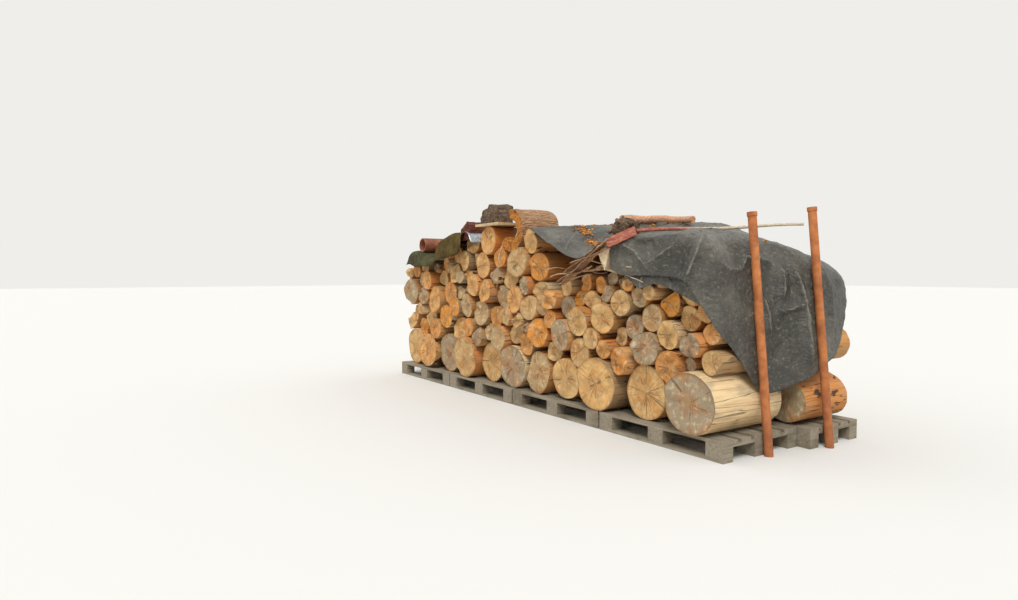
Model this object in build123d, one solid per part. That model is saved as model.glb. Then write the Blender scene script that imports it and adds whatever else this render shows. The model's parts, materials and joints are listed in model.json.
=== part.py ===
from build123d import *
import math
import os

# A long stack of cordwood, two rows deep on pallets, held at its ends by leaning steel stakes,
# with worn tarps over one end and odds and ends lying on top. Millimetres.
# s is measured from the right end of the pallets to the left, z up from the pallet deck.

# Pallets
bays = 4
pallet_length = 1200
pallet_depth = 800
bay_gap = 20
row_gap = 15
back_pallet_shift = 100
board = 22
block_height = 78
wide_board = 145
narrow_board = 100
deck = board * 3 + block_height
stack_length = bays * pallet_length + (bays - 1) * bay_gap
# The hidden row stands on half pallets.
back_bays = 6
back_pallet_length = 800
back_pallet_depth = 600
back_bay_gap = (stack_length - back_bays * back_pallet_length) / (back_bays - 1)

# Rounds
touch = 0.4
log_set_back = 55
log_length = pallet_depth - log_set_back
row_depth = pallet_depth - 5
back_log_length = back_pallet_depth - log_set_back
back_row_depth = back_pallet_depth - 5
stagger = [0, 62, 18, 88, 35, 8, 72, 28]
shorter = [0, 25, 8, 34, 15]

# Stakes of steel tube
stake_lean = math.radians(5.6)
tube_radius = 30.15
tube_wall = 3.6
front_stake_length = 1665
back_stake_length = 1720
left_stake_length = 1330
cap_length = 24
cap_wall = 4
cap_play = 0.4
front_stake_depth = 420
back_stake_depth = pallet_depth + row_gap + 0.277 * back_row_depth

# Tarps
cloth = 2.5
cloth_play = 0.4
steepest = 2.0
end_room = cloth + cloth_play
tarp_front = 25
tarp_overhang = 20
tarp_back = pallet_depth + row_gap + back_row_depth + tarp_overhang
tarp_left = 1060
tarp_turn = 130
tarp_beyond = 100
plan_margin = 50
front_edge = 1370
flap_low = 1060
back_flap = 330
rise_depth = pallet_depth / 2
crown_rise = 1445
fan_rise = 1385
fan_middle = 1325
fan_back = 1145
# Corners of the part that hangs down the right end: in from the front and above the deck.
end_corners = [(350, 300), (500, 255), (920, 380), (1080, 450), (1270, 520)]
end_back_low = 1000
middle_tarp_left = 2140
tarp_seam = 10
tarp_margin = 20
# The front edge of the middle tarp, which sags in front of the tops: share of its length, and high.
middle_front = [(0, 1340), (0.2, 1250), (0.39, 1180), (0.5, 1225), (0.72, 1350), (1, 1480)]

# Rounds of the front row as they show from the front: how far along, how high, how thick,
# and, where it stands out, how far back its end lies.
front_rounds = [
    (250, 215, 430, -50), (755, 204, 400, 60), (1235, 212, 424, -20), (1690, 195, 388, 50),
    (2095, 195, 388, 55), (2500, 202, 404, 45), (2910, 205, 410), (3330, 215, 430), (3760, 215, 430),
    (4190, 215, 430), (4618, 213, 425),
    (444, 440, 230), (285, 475, 95), (304, 614, 190), (500, 660, 210), (670, 570, 240),
    (874, 470, 210), (1120, 506, 160), (1390, 470, 240), (1630, 490, 190), (1864, 530, 260),
    (2100, 480, 220), (2255, 510, 110), (2400, 530, 190), (2622, 450, 240), (2884, 520, 170),
    (3120, 490, 220), (3340, 494, 190), (3720, 430, 260), (3550, 640, 200),
    (3880, 610, 250), (4150, 510, 240), (4400, 590, 200), (4640, 450, 200), (4640, 630, 190),
    (350, 804, 160), (520, 900, 220), (710, 800, 200), (890, 670, 210), (1080, 634, 150),
    (1076, 814, 220), (880, 866, 170), (1304, 726, 240), (1486, 666, 170), (1294, 900, 170),
    (1556, 854, 230), (1740, 760, 240), (1956, 814, 140), (2076, 680, 250), (2250, 650, 140),
    (2360, 830, 250), (2200, 890, 180), (2500, 680, 170), (2130, 1000, 170), (1840, 1000, 200),
    (1430, 1000, 140), (2036, 1190, 250), (2260, 1160, 280), (2510, 1075, 220), (2220, 1420, 225),
    (2650, 1266, 210), (2740, 1080, 210), (2614, 876, 220), (2840, 910, 240),
    (2750, 674, 200), (3000, 1160, 250), (2910, 1386, 285), (3170, 960, 270), (3300, 726, 250),
    (3050, 740, 225), (3336, 1200, 210), (3257, 1391, 225), (3730, 1150, 220), (3510, 1040, 130),
    (3360, 1020, 110), (3410, 900, 130), (3970, 934, 270), (3730, 840, 260), (3550, 840, 160),
    (4230, 1020, 180), (4120, 726, 200), (4560, 850, 310), (4240, 870, 130), (4700, 1020, 150),
    (1080, 980, 130), (760, 1010, 110), (960, 1060, 100), (1650, 980, 190), (1500, 1020, 160),
    (1930, 900, 120), (4350, 1130, 190), (4050, 1130, 210), (3850, 1180, 190), (3560, 1230, 200),
    (120, 540, 150, 45), (150, 700, 160, 50), (200, 850, 170, 50), (170, 1010, 180, 50),
    (360, 1010, 190, 50), (560, 1110, 210, 50), (800, 1160, 190, 50), (3060, 1290, 120),
    (1250, 1080, 120), (1780, 1120, 140), (3640, 1350, 190, 60), (3850, 1230, 170, 60),
    (4180, 1130, 190, 40), (4470, 1130, 170, 50), (4320, 1250, 160, 60), (4050, 1190, 150, 60),
    (1170, 1160, 130, 90), (1090, 1240, 110, 110),
]

# How far a round looks for its neighbours and its place, and where each course ends.
neighbour_reach = 450
search_reach = 400
low_on_deck = 60
course_limits = [330, 560, 770, 960, 1180]

# Thicknesses in the hidden row behind, taken in turn from the bottom up.
back_thicknesses = [
    360, 340, 390, 350, 330, 370, 345, 260, 230, 290, 200, 250, 240, 210, 270, 180, 230, 300, 220, 190,
    250, 160, 240, 280, 200, 215, 170, 260,
]
back_height = 1560
back_end_height = fan_back - 15
back_filler = 140

# Things on top, by the same measures as the rounds: along, high, thickness of the round that
# would hold each.
hollow_log = (0.5185 * stack_length, 1480, 345)
hollow_wall = 70
hollow_length = 440
hollow_front = 20
hollow_opening = (100, 205)
top_gap = 12
plank_tuck = 60
plank_length = stack_length / 11.4
plank_thickness = 24
plank_depth = (-30, 330)
stump_margin = 55
stump_length = plank_length - stump_margin
stump_height = 185
stump_depth = (10, 420)
zinc_length = stack_length / 24
zinc_thickness = 3
zinc_depth = (-40, 420)
offcut_length = zinc_length / 1.3
offcut_height = 65
offcut_depth = (110, 410)
felt_length = stack_length / 8.1
felt_rise = 45
felt_thickness = 5
felt_depth = (-60, 690)
flat_sheet_length = stack_length / 7
flat_sheet_thickness = 6
flat_sheet_depth = (-50, 700)
pipe_radius = 82
pipe_wall = 14
pipe_depth = (30, 670)
pipe_share = 0.68
bark_slab = (1070, 1740)
bark_thickness = 26
bark_depth = (5, 175)

# Things on the end tarp: where their middles or ends lie, along and in from the front.
pole_radius = 11
pole_left = (830, 110)
pole_right = (45, back_stake_depth - 35)
root_size = (200, 180, 140)
root_place = (955, 138)
board_size = (200, 80, 22)
board_place = (955, -8)
# Rough outlines, as shares of the width and the height: the top of each from one side to the other.
stump_top = [(0, 0.3), (0.08, 0.74), (0.3, 0.9), (0.64, 1), (0.9, 0.66), (1, 0.3)]
offcut_top = [(0, 0.6), (0.2, 1), (0.75, 0.85), (1, 0.35)]
root_top = [(0, 0.35), (0.16, 0.8), (0.42, 1), (0.7, 0.9), (0.94, 0.6), (1, 0.2)]


def side(point, inward):
    """A straight side that rounds may rest against: a point on it and the way into the stack."""
    return (point, inward)


def distance_in(one_side, p):
    point, inward = one_side
    return (p[0] - point[0]) * inward[0] + (p[1] - point[1]) * inward[1]


def sides_of_row(right_foot, left_foot):
    across = math.cos(stake_lean)
    down = -math.sin(stake_lean)
    return [side((0, 0), (0, 1)), side((right_foot, 0), (across, down)), side((left_foot, 0), (-across, down))]


def against_two_rounds(a, b, r):
    """Centres of a round of radius r that touches the rounds a and b."""
    reach_a = a[2] + r + touch
    reach_b = b[2] + r + touch
    dx = b[0] - a[0]
    dz = b[1] - a[1]
    apart = math.hypot(dx, dz)
    if apart > reach_a + reach_b or apart < abs(reach_a - reach_b):
        return []
    along = (reach_a ** 2 - reach_b ** 2 + apart ** 2) / (2 * apart)
    off = math.sqrt(max(0.0, reach_a ** 2 - along ** 2))
    mx = a[0] + along * dx / apart
    mz = a[1] + along * dz / apart
    return [(mx - off * dz / apart, mz + off * dx / apart), (mx + off * dz / apart, mz - off * dx / apart)]


def against_side(a, one_side, r):
    """Centres of a round of radius r that touches the round a and a side."""
    reach = a[2] + r + touch
    step = r + touch - distance_in(one_side, a)
    if abs(step) > reach:
        return []
    inward = one_side[1]
    off = math.sqrt(reach ** 2 - step ** 2)
    mx = a[0] + inward[0] * step
    mz = a[1] + inward[1] * step
    return [(mx - inward[1] * off, mz + inward[0] * off), (mx + inward[1] * off, mz - inward[0] * off)]


def push_from_round(p, a):
    apart = math.hypot(p[0] - a[0], p[1] - a[1])
    return ((p[0] - a[0]) / apart, (p[1] - a[1]) / apart)


def rests(push_a, push_b):
    """Whether two pushes, one from each side, carry a round between them."""
    left, right = sorted((push_a, push_b), reverse=True)
    if left[0] < 0 or right[0] > 0:
        return False
    return left[0] * right[1] - left[1] * right[0] > 0.02


def is_free(p, r, stack, sides):
    slack = 0.001
    for one_side in sides:
        if distance_in(one_side, p) < r + touch - slack:
            return False
    return all(math.hypot(p[0] - k[0], p[1] - k[1]) >= k[2] + r + touch - slack for k in stack)


def resting_places(r, stack, sides):
    """Every place in a row where a round of radius r would lie still."""
    floor = sides[0]
    found = []
    for i, a in enumerate(stack):
        for b in stack[i + 1:]:
            if math.hypot(a[0] - b[0], a[1] - b[1]) > a[2] + b[2] + 2 * (r + touch):
                continue
            for p in against_two_rounds(a, b, r):
                if rests(push_from_round(p, a), push_from_round(p, b)) and is_free(p, r, stack, sides):
                    found.append(p)
        for one_side in sides:
            for p in against_side(a, one_side, r):
                held = one_side is floor or rests(push_from_round(p, a), one_side[1])
                if held and is_free(p, r, stack, sides):
                    found.append(p)
    return found


def settled(aim, stack):
    """The aim of a round, moved as the rounds nearest below it have moved."""
    near = sorted(stack, key=lambda k: math.hypot(k[3][0] - aim[0], k[3][1] - aim[1]))[:4]
    near = [k for k in near if math.hypot(k[3][0] - aim[0], k[3][1] - aim[1]) < neighbour_reach]
    if not near:
        return aim
    ds = sum(k[0] - k[3][0] for k in near) / len(near)
    dz = sum(k[1] - k[3][1] for k in near) / len(near)
    return (aim[0] + 0.3 * ds, aim[1] + dz)


def place_near(entry, stack, sides):
    """The steady place nearest to where a round is aimed, with its thickness eased a little to fit."""
    thickness = entry[2]
    aim = settled(entry[:2], stack)
    best = None
    reach = search_reach
    while best is None:
        near = [k for k in stack if math.hypot(k[0] - aim[0], k[1] - aim[1]) < k[2] + thickness + reach]
        for ease in (1.0, 0.96, 1.04, 0.92, 1.08, 1.12, 1.16):
            r = thickness / 2 * ease
            places = [p for p in resting_places(r, near, sides) if is_free(p, r, stack, sides)]
            flat = (entry[0], r + touch)
            if entry[1] - thickness / 2 < low_on_deck and is_free(flat, r, stack, sides):
                places.append(flat)
            for p in places:
                cost = math.hypot(p[0] - aim[0], p[1] - aim[1]) + abs(ease - 1.03) * thickness * 0.6
                if best is None or cost < best[0]:
                    best = (cost, p, r)
        reach *= 2
    return (best[1][0], best[1][1], best[2], entry)


def front_row():
    sides = sides_of_row(end_room, stack_length)
    stack = []
    within = [e for e in front_rounds if e[0] + e[2] / 4 < stack_length]
    for entry in sorted(within, key=lambda e: e[1] - e[2] / 4):
        stack.append(place_near(entry, stack, sides))
    return stack, sides


def back_limit(s):
    """How high the hidden row may reach: it falls away at the right end."""
    share = (s - tarp_turn) / (tarp_left - tarp_turn)
    return back_end_height + (back_height - back_end_height) * max(0.0, min(1.0, share))


def back_row():
    """The hidden row, filled from the bottom up with the rounds taken in turn."""
    sides = sides_of_row(end_room - back_pallet_shift, stack_length - back_pallet_shift)
    r = back_thicknesses[0] / 2
    stack = [(sides[1][0][0] + r + touch + 2 * r * math.tan(stake_lean), r + touch, r, None)]
    turn = 1
    while True:
        thickness = back_thicknesses[turn % len(back_thicknesses)]
        places = []
        for r in (thickness / 2, back_filler / 2):
            places = [p for p in resting_places(r, stack, sides) if p[1] + r < back_limit(p[0] - r)]
            if places:
                break
        if not places:
            return stack
        p = min(places, key=lambda q: q[1])
        stack.append((p[0], p[1], r, None))
        turn += 1


def course_of(entry_height):
    """The course a round belongs to, by how high it was aimed or lies."""
    return sum(entry_height > limit for limit in course_limits) + 1


def along(s):
    """X of a place s from the right end."""
    return -s


def round_solid(s, z, r, front, length):
    middle = (along(s), front + length / 2, deck + z)
    return Pos(*middle) * Rot(90, 0, 0) * Cylinder(r, length)


def slab(points, front, length):
    """A solid with an outline of s and z, running back from its front face."""
    outline = [(along(s), front, deck + z) for s, z in points]
    face = make_face(Polyline(*outline, close=True).edges())
    return extrude(face, amount=length, dir=(0, 1, 0))


def strip_outline(points, thickness):
    """A band of even thickness over a line of points, its underside on the line."""
    top = []
    for i, p in enumerate(points):
        before = points[max(0, i - 1)]
        after = points[min(len(points) - 1, i + 1)]
        turn = (normal(before, p) if i else normal(p, after), normal(p, after) if p != points[-1] else normal(before, p))
        nx = turn[0][0] + turn[1][0]
        nz = turn[0][1] + turn[1][1]
        scale = 2 * thickness / (nx * nx + nz * nz)
        top.append((p[0] + nx * scale, p[1] + nz * scale))
    return list(points) + top[::-1]


def normal(a, b):
    """The upward normal of a line that runs towards larger first coordinates."""
    length = math.hypot(b[0] - a[0], b[1] - a[1])
    return (-(b[1] - a[1]) / length, (b[0] - a[0]) / length)


def round_tops(stack):
    """Points all round the rounds, for what lies on them."""
    steps = [math.radians(3 * i) for i in range(61)]
    return [(k[0] + k[2] * math.cos(a), k[1] + k[2] * math.sin(a)) for k in stack for a in steps]


def skyline(points, low, high):
    """The tight line over the points between two places, as a cloth pulled over them lies."""
    line = []
    for p in sorted(q for q in points if low <= q[0] <= high):
        while len(line) > 1:
            a, b = line[-2:]
            if (b[0] - a[0]) * (p[1] - a[1]) - (b[1] - a[1]) * (p[0] - a[0]) < 0:
                break
            line.pop()
        line.append(p)
    while len(line) > 2 and line[1][1] - line[0][1] > steepest * (line[1][0] - line[0][0]):
        line.pop(0)
    while len(line) > 2 and line[-2][1] - line[-1][1] > steepest * (line[-1][0] - line[-2][0]):
        line.pop()
    return line


def bed(points, low, high):
    """The slope that a flat thing between two places lies on: two points of its underside."""
    line = skyline(points, low, high)
    middle = (low + high) / 2
    for a, b in zip(line, line[1:]):
        if a[0] <= middle <= b[0]:
            slope = (b[1] - a[1]) / (b[0] - a[0])
            rise = touch * math.hypot(1, slope)
            return [(s, a[1] + (s - a[0]) * slope + rise) for s in (low, high)]


def pallet(left, front, length, depth, middle_width, deck_widths):
    """One pallet from its left front corner: base boards, blocks, cross boards and deck boards."""
    middle = left + length / 2
    column = (length - wide_board) / 2
    board_gap = (depth - sum(deck_widths)) / (len(deck_widths) - 1)
    base_boards, blocks, cross_boards, deck_boards = ([], [], [], [])
    for y, width in ((0, narrow_board), ((depth - middle_width) / 2, middle_width), (depth - narrow_board, narrow_board)):
        base_boards.append(Pos(middle, front + y + width / 2, board / 2) * Box(length, width, board))
        for i in range(3):
            place = Pos(left + wide_board / 2 + i * column, front + y + width / 2, board + block_height / 2)
            blocks.append(place * Box(wide_board, width, block_height))
    for i in range(3):
        place = Pos(left + wide_board / 2 + i * column, front + depth / 2, deck - board * 1.5)
        cross_boards.append(place * Box(wide_board, depth, board))
    y = front
    for width in deck_widths:
        deck_boards.append(Pos(middle, y + width / 2, deck - board / 2) * Box(length, width, board))
        y += width + board_gap
    return base_boards, blocks, cross_boards, deck_boards


def pallets():
    wide, narrow = wide_board, narrow_board
    whole = (pallet_length, pallet_depth, wide, (wide, narrow, wide, narrow, wide))
    half = (back_pallet_length, back_pallet_depth, narrow, (narrow, narrow, narrow, narrow, narrow))
    rows = (("front", bays, bay_gap, 0, 0, whole),
            ("back", back_bays, back_bay_gap, back_pallet_shift, pallet_depth + row_gap, half))
    nodes = {}
    for row, count, gap, shift, front, size in rows:
        for bay in range(count):
            left = shift - bay * (size[0] + gap) - size[0]
            for kind, solids in zip(("base_boards", "blocks", "cross_boards", "deck_boards"), pallet(left, front, *size)):
                nodes.setdefault(f"{row}_pallet_{kind}", []).extend(solids)
    return nodes


def log_nodes(front, back):
    nodes = {}
    for i, (s, z, r, entry) in enumerate(front):
        face = entry[3] if len(entry) > 3 else stagger[i % len(stagger)]
        length = min(log_length - shorter[i % len(shorter)], row_depth - face)
        half = "right" if entry[0] < stack_length / 2 else "left"
        name = f"front_logs_{half}_course_{course_of(entry[1])}"
        nodes.setdefault(name, []).append(round_solid(s, z, r, face, length))
    for i, (s, z, r, entry) in enumerate(back):
        face = stagger[i % len(stagger)]
        length = min(back_log_length - shorter[i % len(shorter)], back_row_depth - face)
        half = "right" if s < stack_length / 2 else "left"
        name = f"back_logs_{half}_course_{(course_of(z) + 1) // 2}"
        nodes.setdefault(name, []).append(round_solid(s, z, r, pallet_depth + row_gap + face, length))
    return nodes


def stake(foot, depth, toward, length):
    """A leaning tube with its foot cut level with the ground, and the cap on it."""
    lean = Pos(foot, depth, deck) * Rot(0, toward * math.degrees(stake_lean), 0)
    low = -deck - tube_radius
    top = length - deck
    tube = Cylinder(tube_radius, top - low) - Cylinder(tube_radius - tube_wall, top - low)
    tube = lean * Pos(0, 0, (top + low) / 2) * tube
    tube = tube - Pos(foot, depth, -length) * Box(length, length, 2 * length)
    inner = tube_radius + cap_play
    outer = inner + cap_wall
    cap = Pos(0, 0, top + cap_wall - (cap_length + cap_wall) / 2) * Cylinder(outer, cap_length + cap_wall)
    cap = cap - Pos(0, 0, top - cap_length) * Cylinder(inner, 2 * cap_length)
    return tube, lean * cap


def stakes():
    out = (tube_radius + touch) / math.cos(stake_lean)
    right = [(out, front_stake_depth, -1, front_stake_length),
             (out + back_pallet_shift, back_stake_depth, -1, back_stake_length)]
    left_foot = -stack_length - out
    left = [(left_foot, front_stake_depth, 1, left_stake_length),
            (left_foot + back_pallet_shift, back_stake_depth, 1, left_stake_length)]
    nodes = {"stake_caps": []}
    for name, place in zip(("right_front_stake", "right_back_stake", "left_front_stake", "left_back_stake"), right + left):
        tube, cap = stake(*place)
        nodes[name] = [tube]
        nodes["stake_caps"].append(cap)
    return nodes


def band(points, x):
    """A thin face across the stack: a line of depth and height, made as thick as the cloth."""
    outline = [(x, y, deck + z) for y, z in strip_outline(points, cloth)]
    return make_face(Polyline(*outline, close=True).edges())


def end_cloth_plan(thickness):
    """The outline seen from above of what hangs between the rounds and the right stakes."""
    back = pallet_depth + row_gap / 2
    line = [(0, -tarp_front - plan_margin), (0, front_stake_depth + 2 * tube_radius), (back_pallet_shift, back),
            (back_pallet_shift, tarp_back + plan_margin)]
    return line + [(x - thickness, y) for x, y in line[::-1]]


def leaning_prism(plan, low, high):
    """A plan outline drawn upwards along the lean of the right stakes."""
    outline = [(x - low * math.tan(stake_lean), y, deck + low) for x, y in plan]
    face = make_face(Polyline(*outline, close=True).edges())
    return extrude(face, amount=(high - low) / math.cos(stake_lean), dir=(-math.sin(stake_lean), 0, math.cos(stake_lean)))


def roof_section(rise, middle, back):
    """The big tarp in a line from front to back: its front flap, its roof and its back flap."""
    return [(-tarp_front, flap_low), (-tarp_front, front_edge), (rise_depth, rise), (pallet_depth, middle),
            (tarp_back, back), (tarp_back, back - back_flap)]


def roof_crown(back):
    """How high the roof lies at its left edge: drawn tight from its turn over the back rounds."""
    steepness = 0.0
    for s, z, r, entry in back:
        run, rise = s - tarp_turn, z - fan_back
        far = math.hypot(run, rise)
        if run > 0 and far > r and s - r < tarp_left:
            steepness = max(steepness, math.tan(math.atan2(rise, run) + math.asin(r / far)))
    return fan_back + steepness * (tarp_left - tarp_turn) + touch


def end_tarp(crown):
    """The big tarp: a roof over both rows, a flap in front and a sheet down the right end."""
    left = roof_section(crown_rise, crown, crown)
    right = roof_section(fan_rise, fan_middle, fan_back)
    sections = [band(left, -tarp_left), band(right, -tarp_turn), band(right, back_pallet_shift + tarp_beyond)]
    roof = loft(sections, ruled=True)
    high = back_stake_length
    roof = roof - leaning_prism(end_cloth_plan(-high), -deck, high)
    hanging = leaning_prism(end_cloth_plan(cloth / math.cos(stake_lean)), 0, high)
    corners = [(-tarp_front + 1, flap_low)] + end_corners + [(tarp_back - 1, end_back_low)]
    corners = corners + [(y, z + 1) for y, z in right[4:0:-1]]
    outline = [(-tarp_left, y, deck + z) for y, z in corners]
    window = extrude(make_face(Polyline(*outline, close=True).edges()), amount=tarp_left + back_stake_length, dir=(1, 0, 0))
    return roof + (hanging & window)


def height_on(line, s):
    """The height of a line of points at one place along it."""
    for a, b in zip(line, line[1:]):
        if a[0] <= s <= b[0]:
            return a[1] + (b[1] - a[1]) * (s - a[0]) / (b[0] - a[0])
    return line[0][1] if s < line[0][0] else line[-1][1]


def middle_tarp(front_points, back_points):
    """The smaller tarp: low along the front tops, and up over the hidden row behind."""
    low, high = tarp_left + tarp_seam, middle_tarp_left
    front = [(low + (high - low) * share, z) for share, z in middle_front]
    lift = max(z - height_on(front, s) for s, z in front_points if low - tarp_margin < s < high + tarp_margin)
    front = [(s, z + max(0, lift)) for s, z in front]
    back = skyline(back_points, low - tarp_margin, high + tarp_margin)
    places = sorted({low, high} | {p[0] for p in front + back if low < p[0] < high})
    near = [(s, height_on(front, s) + touch) for s in places]
    far = [(s, max(height_on(back, s), height_on(front, s)) + touch) for s in places]
    sheet = slab(far + [(s, z + cloth) for s, z in far[::-1]], pallet_depth, tarp_back - pallet_depth)
    front_edge_line = [(along(s), -tarp_front, deck + z) for s, z in near]
    rear_edge_line = [(along(s), pallet_depth, deck + z) for s, z in far]
    for i in range(len(places) - 1):
        a, b = front_edge_line[i:i + 2]
        c, d = rear_edge_line[i:i + 2]
        for corners in ((a, b, c), (b, d, c)):
            panel = make_face(Polyline(*corners, close=True).edges())
            sheet += extrude(panel, amount=cloth, dir=(0, 0, 1))
    return sheet


def face_points(line):
    """Points close together along the upper face of a thing, for what lies on it."""
    steps = 40
    points = []
    for a, b in zip(line, line[1:]):
        points += [(a[0] + (b[0] - a[0]) * i / steps, a[1] + (b[1] - a[1]) * i / steps) for i in range(steps + 1)]
    return points


def level_bed(points, low, high):
    """The underside of a flat thing that a weight holds level on the highest top below it."""
    top = max(z for s, z in points if low <= s <= high) + touch
    return [(low, top), (high, top)]


def lying(points, extent, thickness, depth, rest=bed):
    """A flat thing laid across the tops: its solid and the line of its upper face."""
    under = rest(points, *extent)
    outline = strip_outline(under, thickness)
    return slab(outline, depth[0], depth[1] - depth[0]), face_points(outline[2:])


def draped(points, extent, thickness, depth):
    """A limp sheet laid over the tops: its solid and the points of its upper face."""
    under = [(s, z + touch) for s, z in skyline(points, *extent)]
    outline = strip_outline(under, thickness)
    return slab(outline, depth[0], depth[1] - depth[0]), face_points(outline[len(under):])


def arched(points, extent, thickness, rise, depth):
    """A stiff sheet that stands in an arch on the tops: its solid and the points of its upper face."""
    flat = face_points(skyline(points, *extent))
    low, high = flat[0][0], flat[-1][0]
    line = [(s, z + touch + rise * math.sin(math.pi * (s - low) / (high - low))) for s, z in flat]
    line = [line[0]] + line[20:-20:20] + [line[-1]]
    outline = strip_outline(line, thickness)
    return slab(outline, depth[0], depth[1] - depth[0]), face_points(outline[len(line):])


def rough_block(points, extent, height, depth, outline):
    """A rough piece of wood on the tops: flat below, its upper outline given in shares."""
    (s0, z0), (s1, z1) = bed(points, *extent)
    nx, nz = normal((s0, z0), (s1, z1))
    top = [(s0 + (s1 - s0) * u + nx * v * height, z0 + (z1 - z0) * u + nz * v * height) for u, v in outline]
    return slab([(s1, z1), (s0, z0)] + top, depth[0], depth[1] - depth[0])


def split_shell(s, z, r):
    """The weathered shell of a rotted log, open along one side."""
    start, end = hollow_opening
    inner = r - hollow_wall
    solid = round_solid(s, z, r, hollow_front, hollow_length)
    solid = solid - round_solid(s, z, inner, hollow_front - 10, hollow_length + 20)
    reach = 2 * r
    rays = [(s - reach * math.cos(math.radians(a)), z + reach * math.sin(math.radians(a)))
            for a in (start, (start + end) / 2, end)]
    return solid - slab([(s, z)] + rays, hollow_front - 10, hollow_length + 20)


def things_on_front_row(front, sides, back):
    """What lies on the tops of the front row, from right to left."""
    nodes = {}
    tops = round_tops(front)
    solid, upper = lying(tops, bark_slab, bark_thickness, bark_depth)
    nodes["bark_slab"] = [solid]
    nodes["middle_tarp"] = [middle_tarp(tops + upper, round_tops(back))]
    s, z, r, entry = place_near(hollow_log, front, sides)
    nodes["hollow_log"] = [split_shell(s, z, r)]
    low = s + r - plank_tuck
    solid, upper = lying(tops, (low, low + plank_length), plank_thickness, plank_depth, level_bed)
    nodes["top_plank"] = [solid]
    stump_extent = (low + top_gap, low + top_gap + stump_length)
    nodes["stump"] = [rough_block(upper, stump_extent, stump_height, stump_depth, stump_top)]
    low += plank_length + top_gap
    solid, upper = draped(tops, (low, low + zinc_length), zinc_thickness, zinc_depth)
    nodes["zinc_sheet"] = [solid]
    low += 2 * top_gap
    nodes["offcut"] = [rough_block(upper, (low, low + offcut_length), offcut_height, offcut_depth, offcut_top)]
    low += zinc_length - top_gap
    solid, upper = arched(tops, (low, low + felt_length), felt_thickness, felt_rise, felt_depth)
    nodes["felt_sheet"] = [solid]
    low += felt_length + top_gap
    solid, upper = draped(tops, (low, low + flat_sheet_length), flat_sheet_thickness, flat_sheet_depth)
    nodes["flat_sheet"] = [solid]
    half = pipe_radius / 2
    ends = (upper[0][0], upper[-1][0])
    middle = min(ends) + pipe_share * (max(ends) - min(ends))
    (s0, z0), (s1, z1) = bed(upper, middle - half, middle + half)
    nx, nz = normal((s0, z0), (s1, z1))
    centre = ((s0 + s1) / 2 + nx * pipe_radius, (z0 + z1) / 2 + nz * pipe_radius)
    length = pipe_depth[1] - pipe_depth[0]
    outside = round_solid(*centre, pipe_radius, pipe_depth[0], length)
    nodes["clay_pipe"] = [outside - round_solid(*centre, pipe_radius - pipe_wall, pipe_depth[0], length)]
    return nodes


def roof_height(crown, s, depth):
    """How high the big tarp's roof lies above the deck at one place."""
    share = (s - tarp_turn) / (tarp_left - tarp_turn)
    left = height_on(roof_section(crown_rise, crown, crown)[1:5], depth)
    right = height_on(roof_section(fan_rise, fan_middle, fan_back)[1:5], depth)
    return right + share * (left - right)


def on_roof(crown, place, size, outline):
    """A rough block that lies on the roof, tilted as the roof is."""
    s, depth = place
    width, run, height = size
    pitch = math.atan2(roof_height(crown, s, depth + run / 2) - roof_height(crown, s, depth - run / 2), run)
    roll = math.atan2(roof_height(crown, s + width / 2, depth) - roof_height(crown, s - width / 2, depth), width)
    level = roof_height(crown, s, depth)
    shares = [i / 4 - 1 for i in range(9)]
    twist = max(roof_height(crown, s + i * width / 2, depth + j * run / 2) - level
                - i * math.tan(roll) * width / 2 - j * math.tan(pitch) * run / 2 for i in shares for j in shares)
    lift = touch + twist + cloth / (math.cos(pitch) * math.cos(roll))
    points = [(width / 2, 0), (-width / 2, 0)] + [((u - 0.5) * width, v * height) for u, v in outline]
    face = make_face(Polyline(*[(x, -run / 2, z) for x, z in points], close=True).edges())
    block = extrude(face, amount=run, dir=(0, 1, 0))
    return Pos(along(s), depth, deck + level + lift) * Rot(math.degrees(pitch), math.degrees(roll), 0) * block


def resting_pole(crown):
    """A thin pole that lies down the roof from its front left corner to the back stake."""
    run = (pole_right[0] - pole_left[0], pole_right[1] - pole_left[1])
    length = math.hypot(*run)
    across = (-run[1] / length, run[0] / length)
    steps = 24
    needed = []
    for i in range(steps + 1):
        for offset in (-1, -0.7, -0.35, 0, 0.35, 0.7, 1):
            s = pole_left[0] + run[0] * i / steps + across[0] * offset * pole_radius
            depth = pole_left[1] + run[1] * i / steps + across[1] * offset * pole_radius
            if s > tarp_turn:
                half = pole_radius * math.sqrt(1 - offset * offset)
                needed.append((length * i / steps, roof_height(crown, s, depth) + half + cloth + 2 * touch))
    start = max(z for u, z in needed if u == 0)
    slope = max((z - start) / u for u, z in needed if u > 0)
    middle = [(a + b) / 2 for a, b in zip(pole_left, pole_right)]
    centre = (along(middle[0]), middle[1], deck + start + slope * length / 2)
    lie = Plane(origin=centre, z_dir=(-run[0], run[1], slope * length))
    return lie * Cylinder(pole_radius, math.hypot(length, slope * length))


def things_on_end_tarp(crown):
    """A pole, a root and a short board that hold the big tarp down."""
    flat = [(0, 1), (1, 1)]
    root = on_roof(crown, root_place, root_size, root_top)
    return {"ridge_pole": [resting_pole(crown)], "root_weight": [root],
            "short_board": [on_roof(crown, board_place, board_size, flat)]}


def write(nodes):
    """Centre everything over the origin and write one file for each node."""
    boxes = [solid.bounding_box() for solids in nodes.values() for solid in solids]
    middle_x = (min(b.min.X for b in boxes) + max(b.max.X for b in boxes)) / 2
    middle_y = (min(b.min.Y for b in boxes) + max(b.max.Y for b in boxes)) / 2
    os.makedirs("parts", exist_ok=True)
    for name, solids in nodes.items():
        moved = [Pos(-middle_x, -middle_y, 0) * solid for solid in solids]
        export_step(Compound(children=moved) if len(moved) > 1 else moved[0], f"parts/{name}.step")


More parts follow.
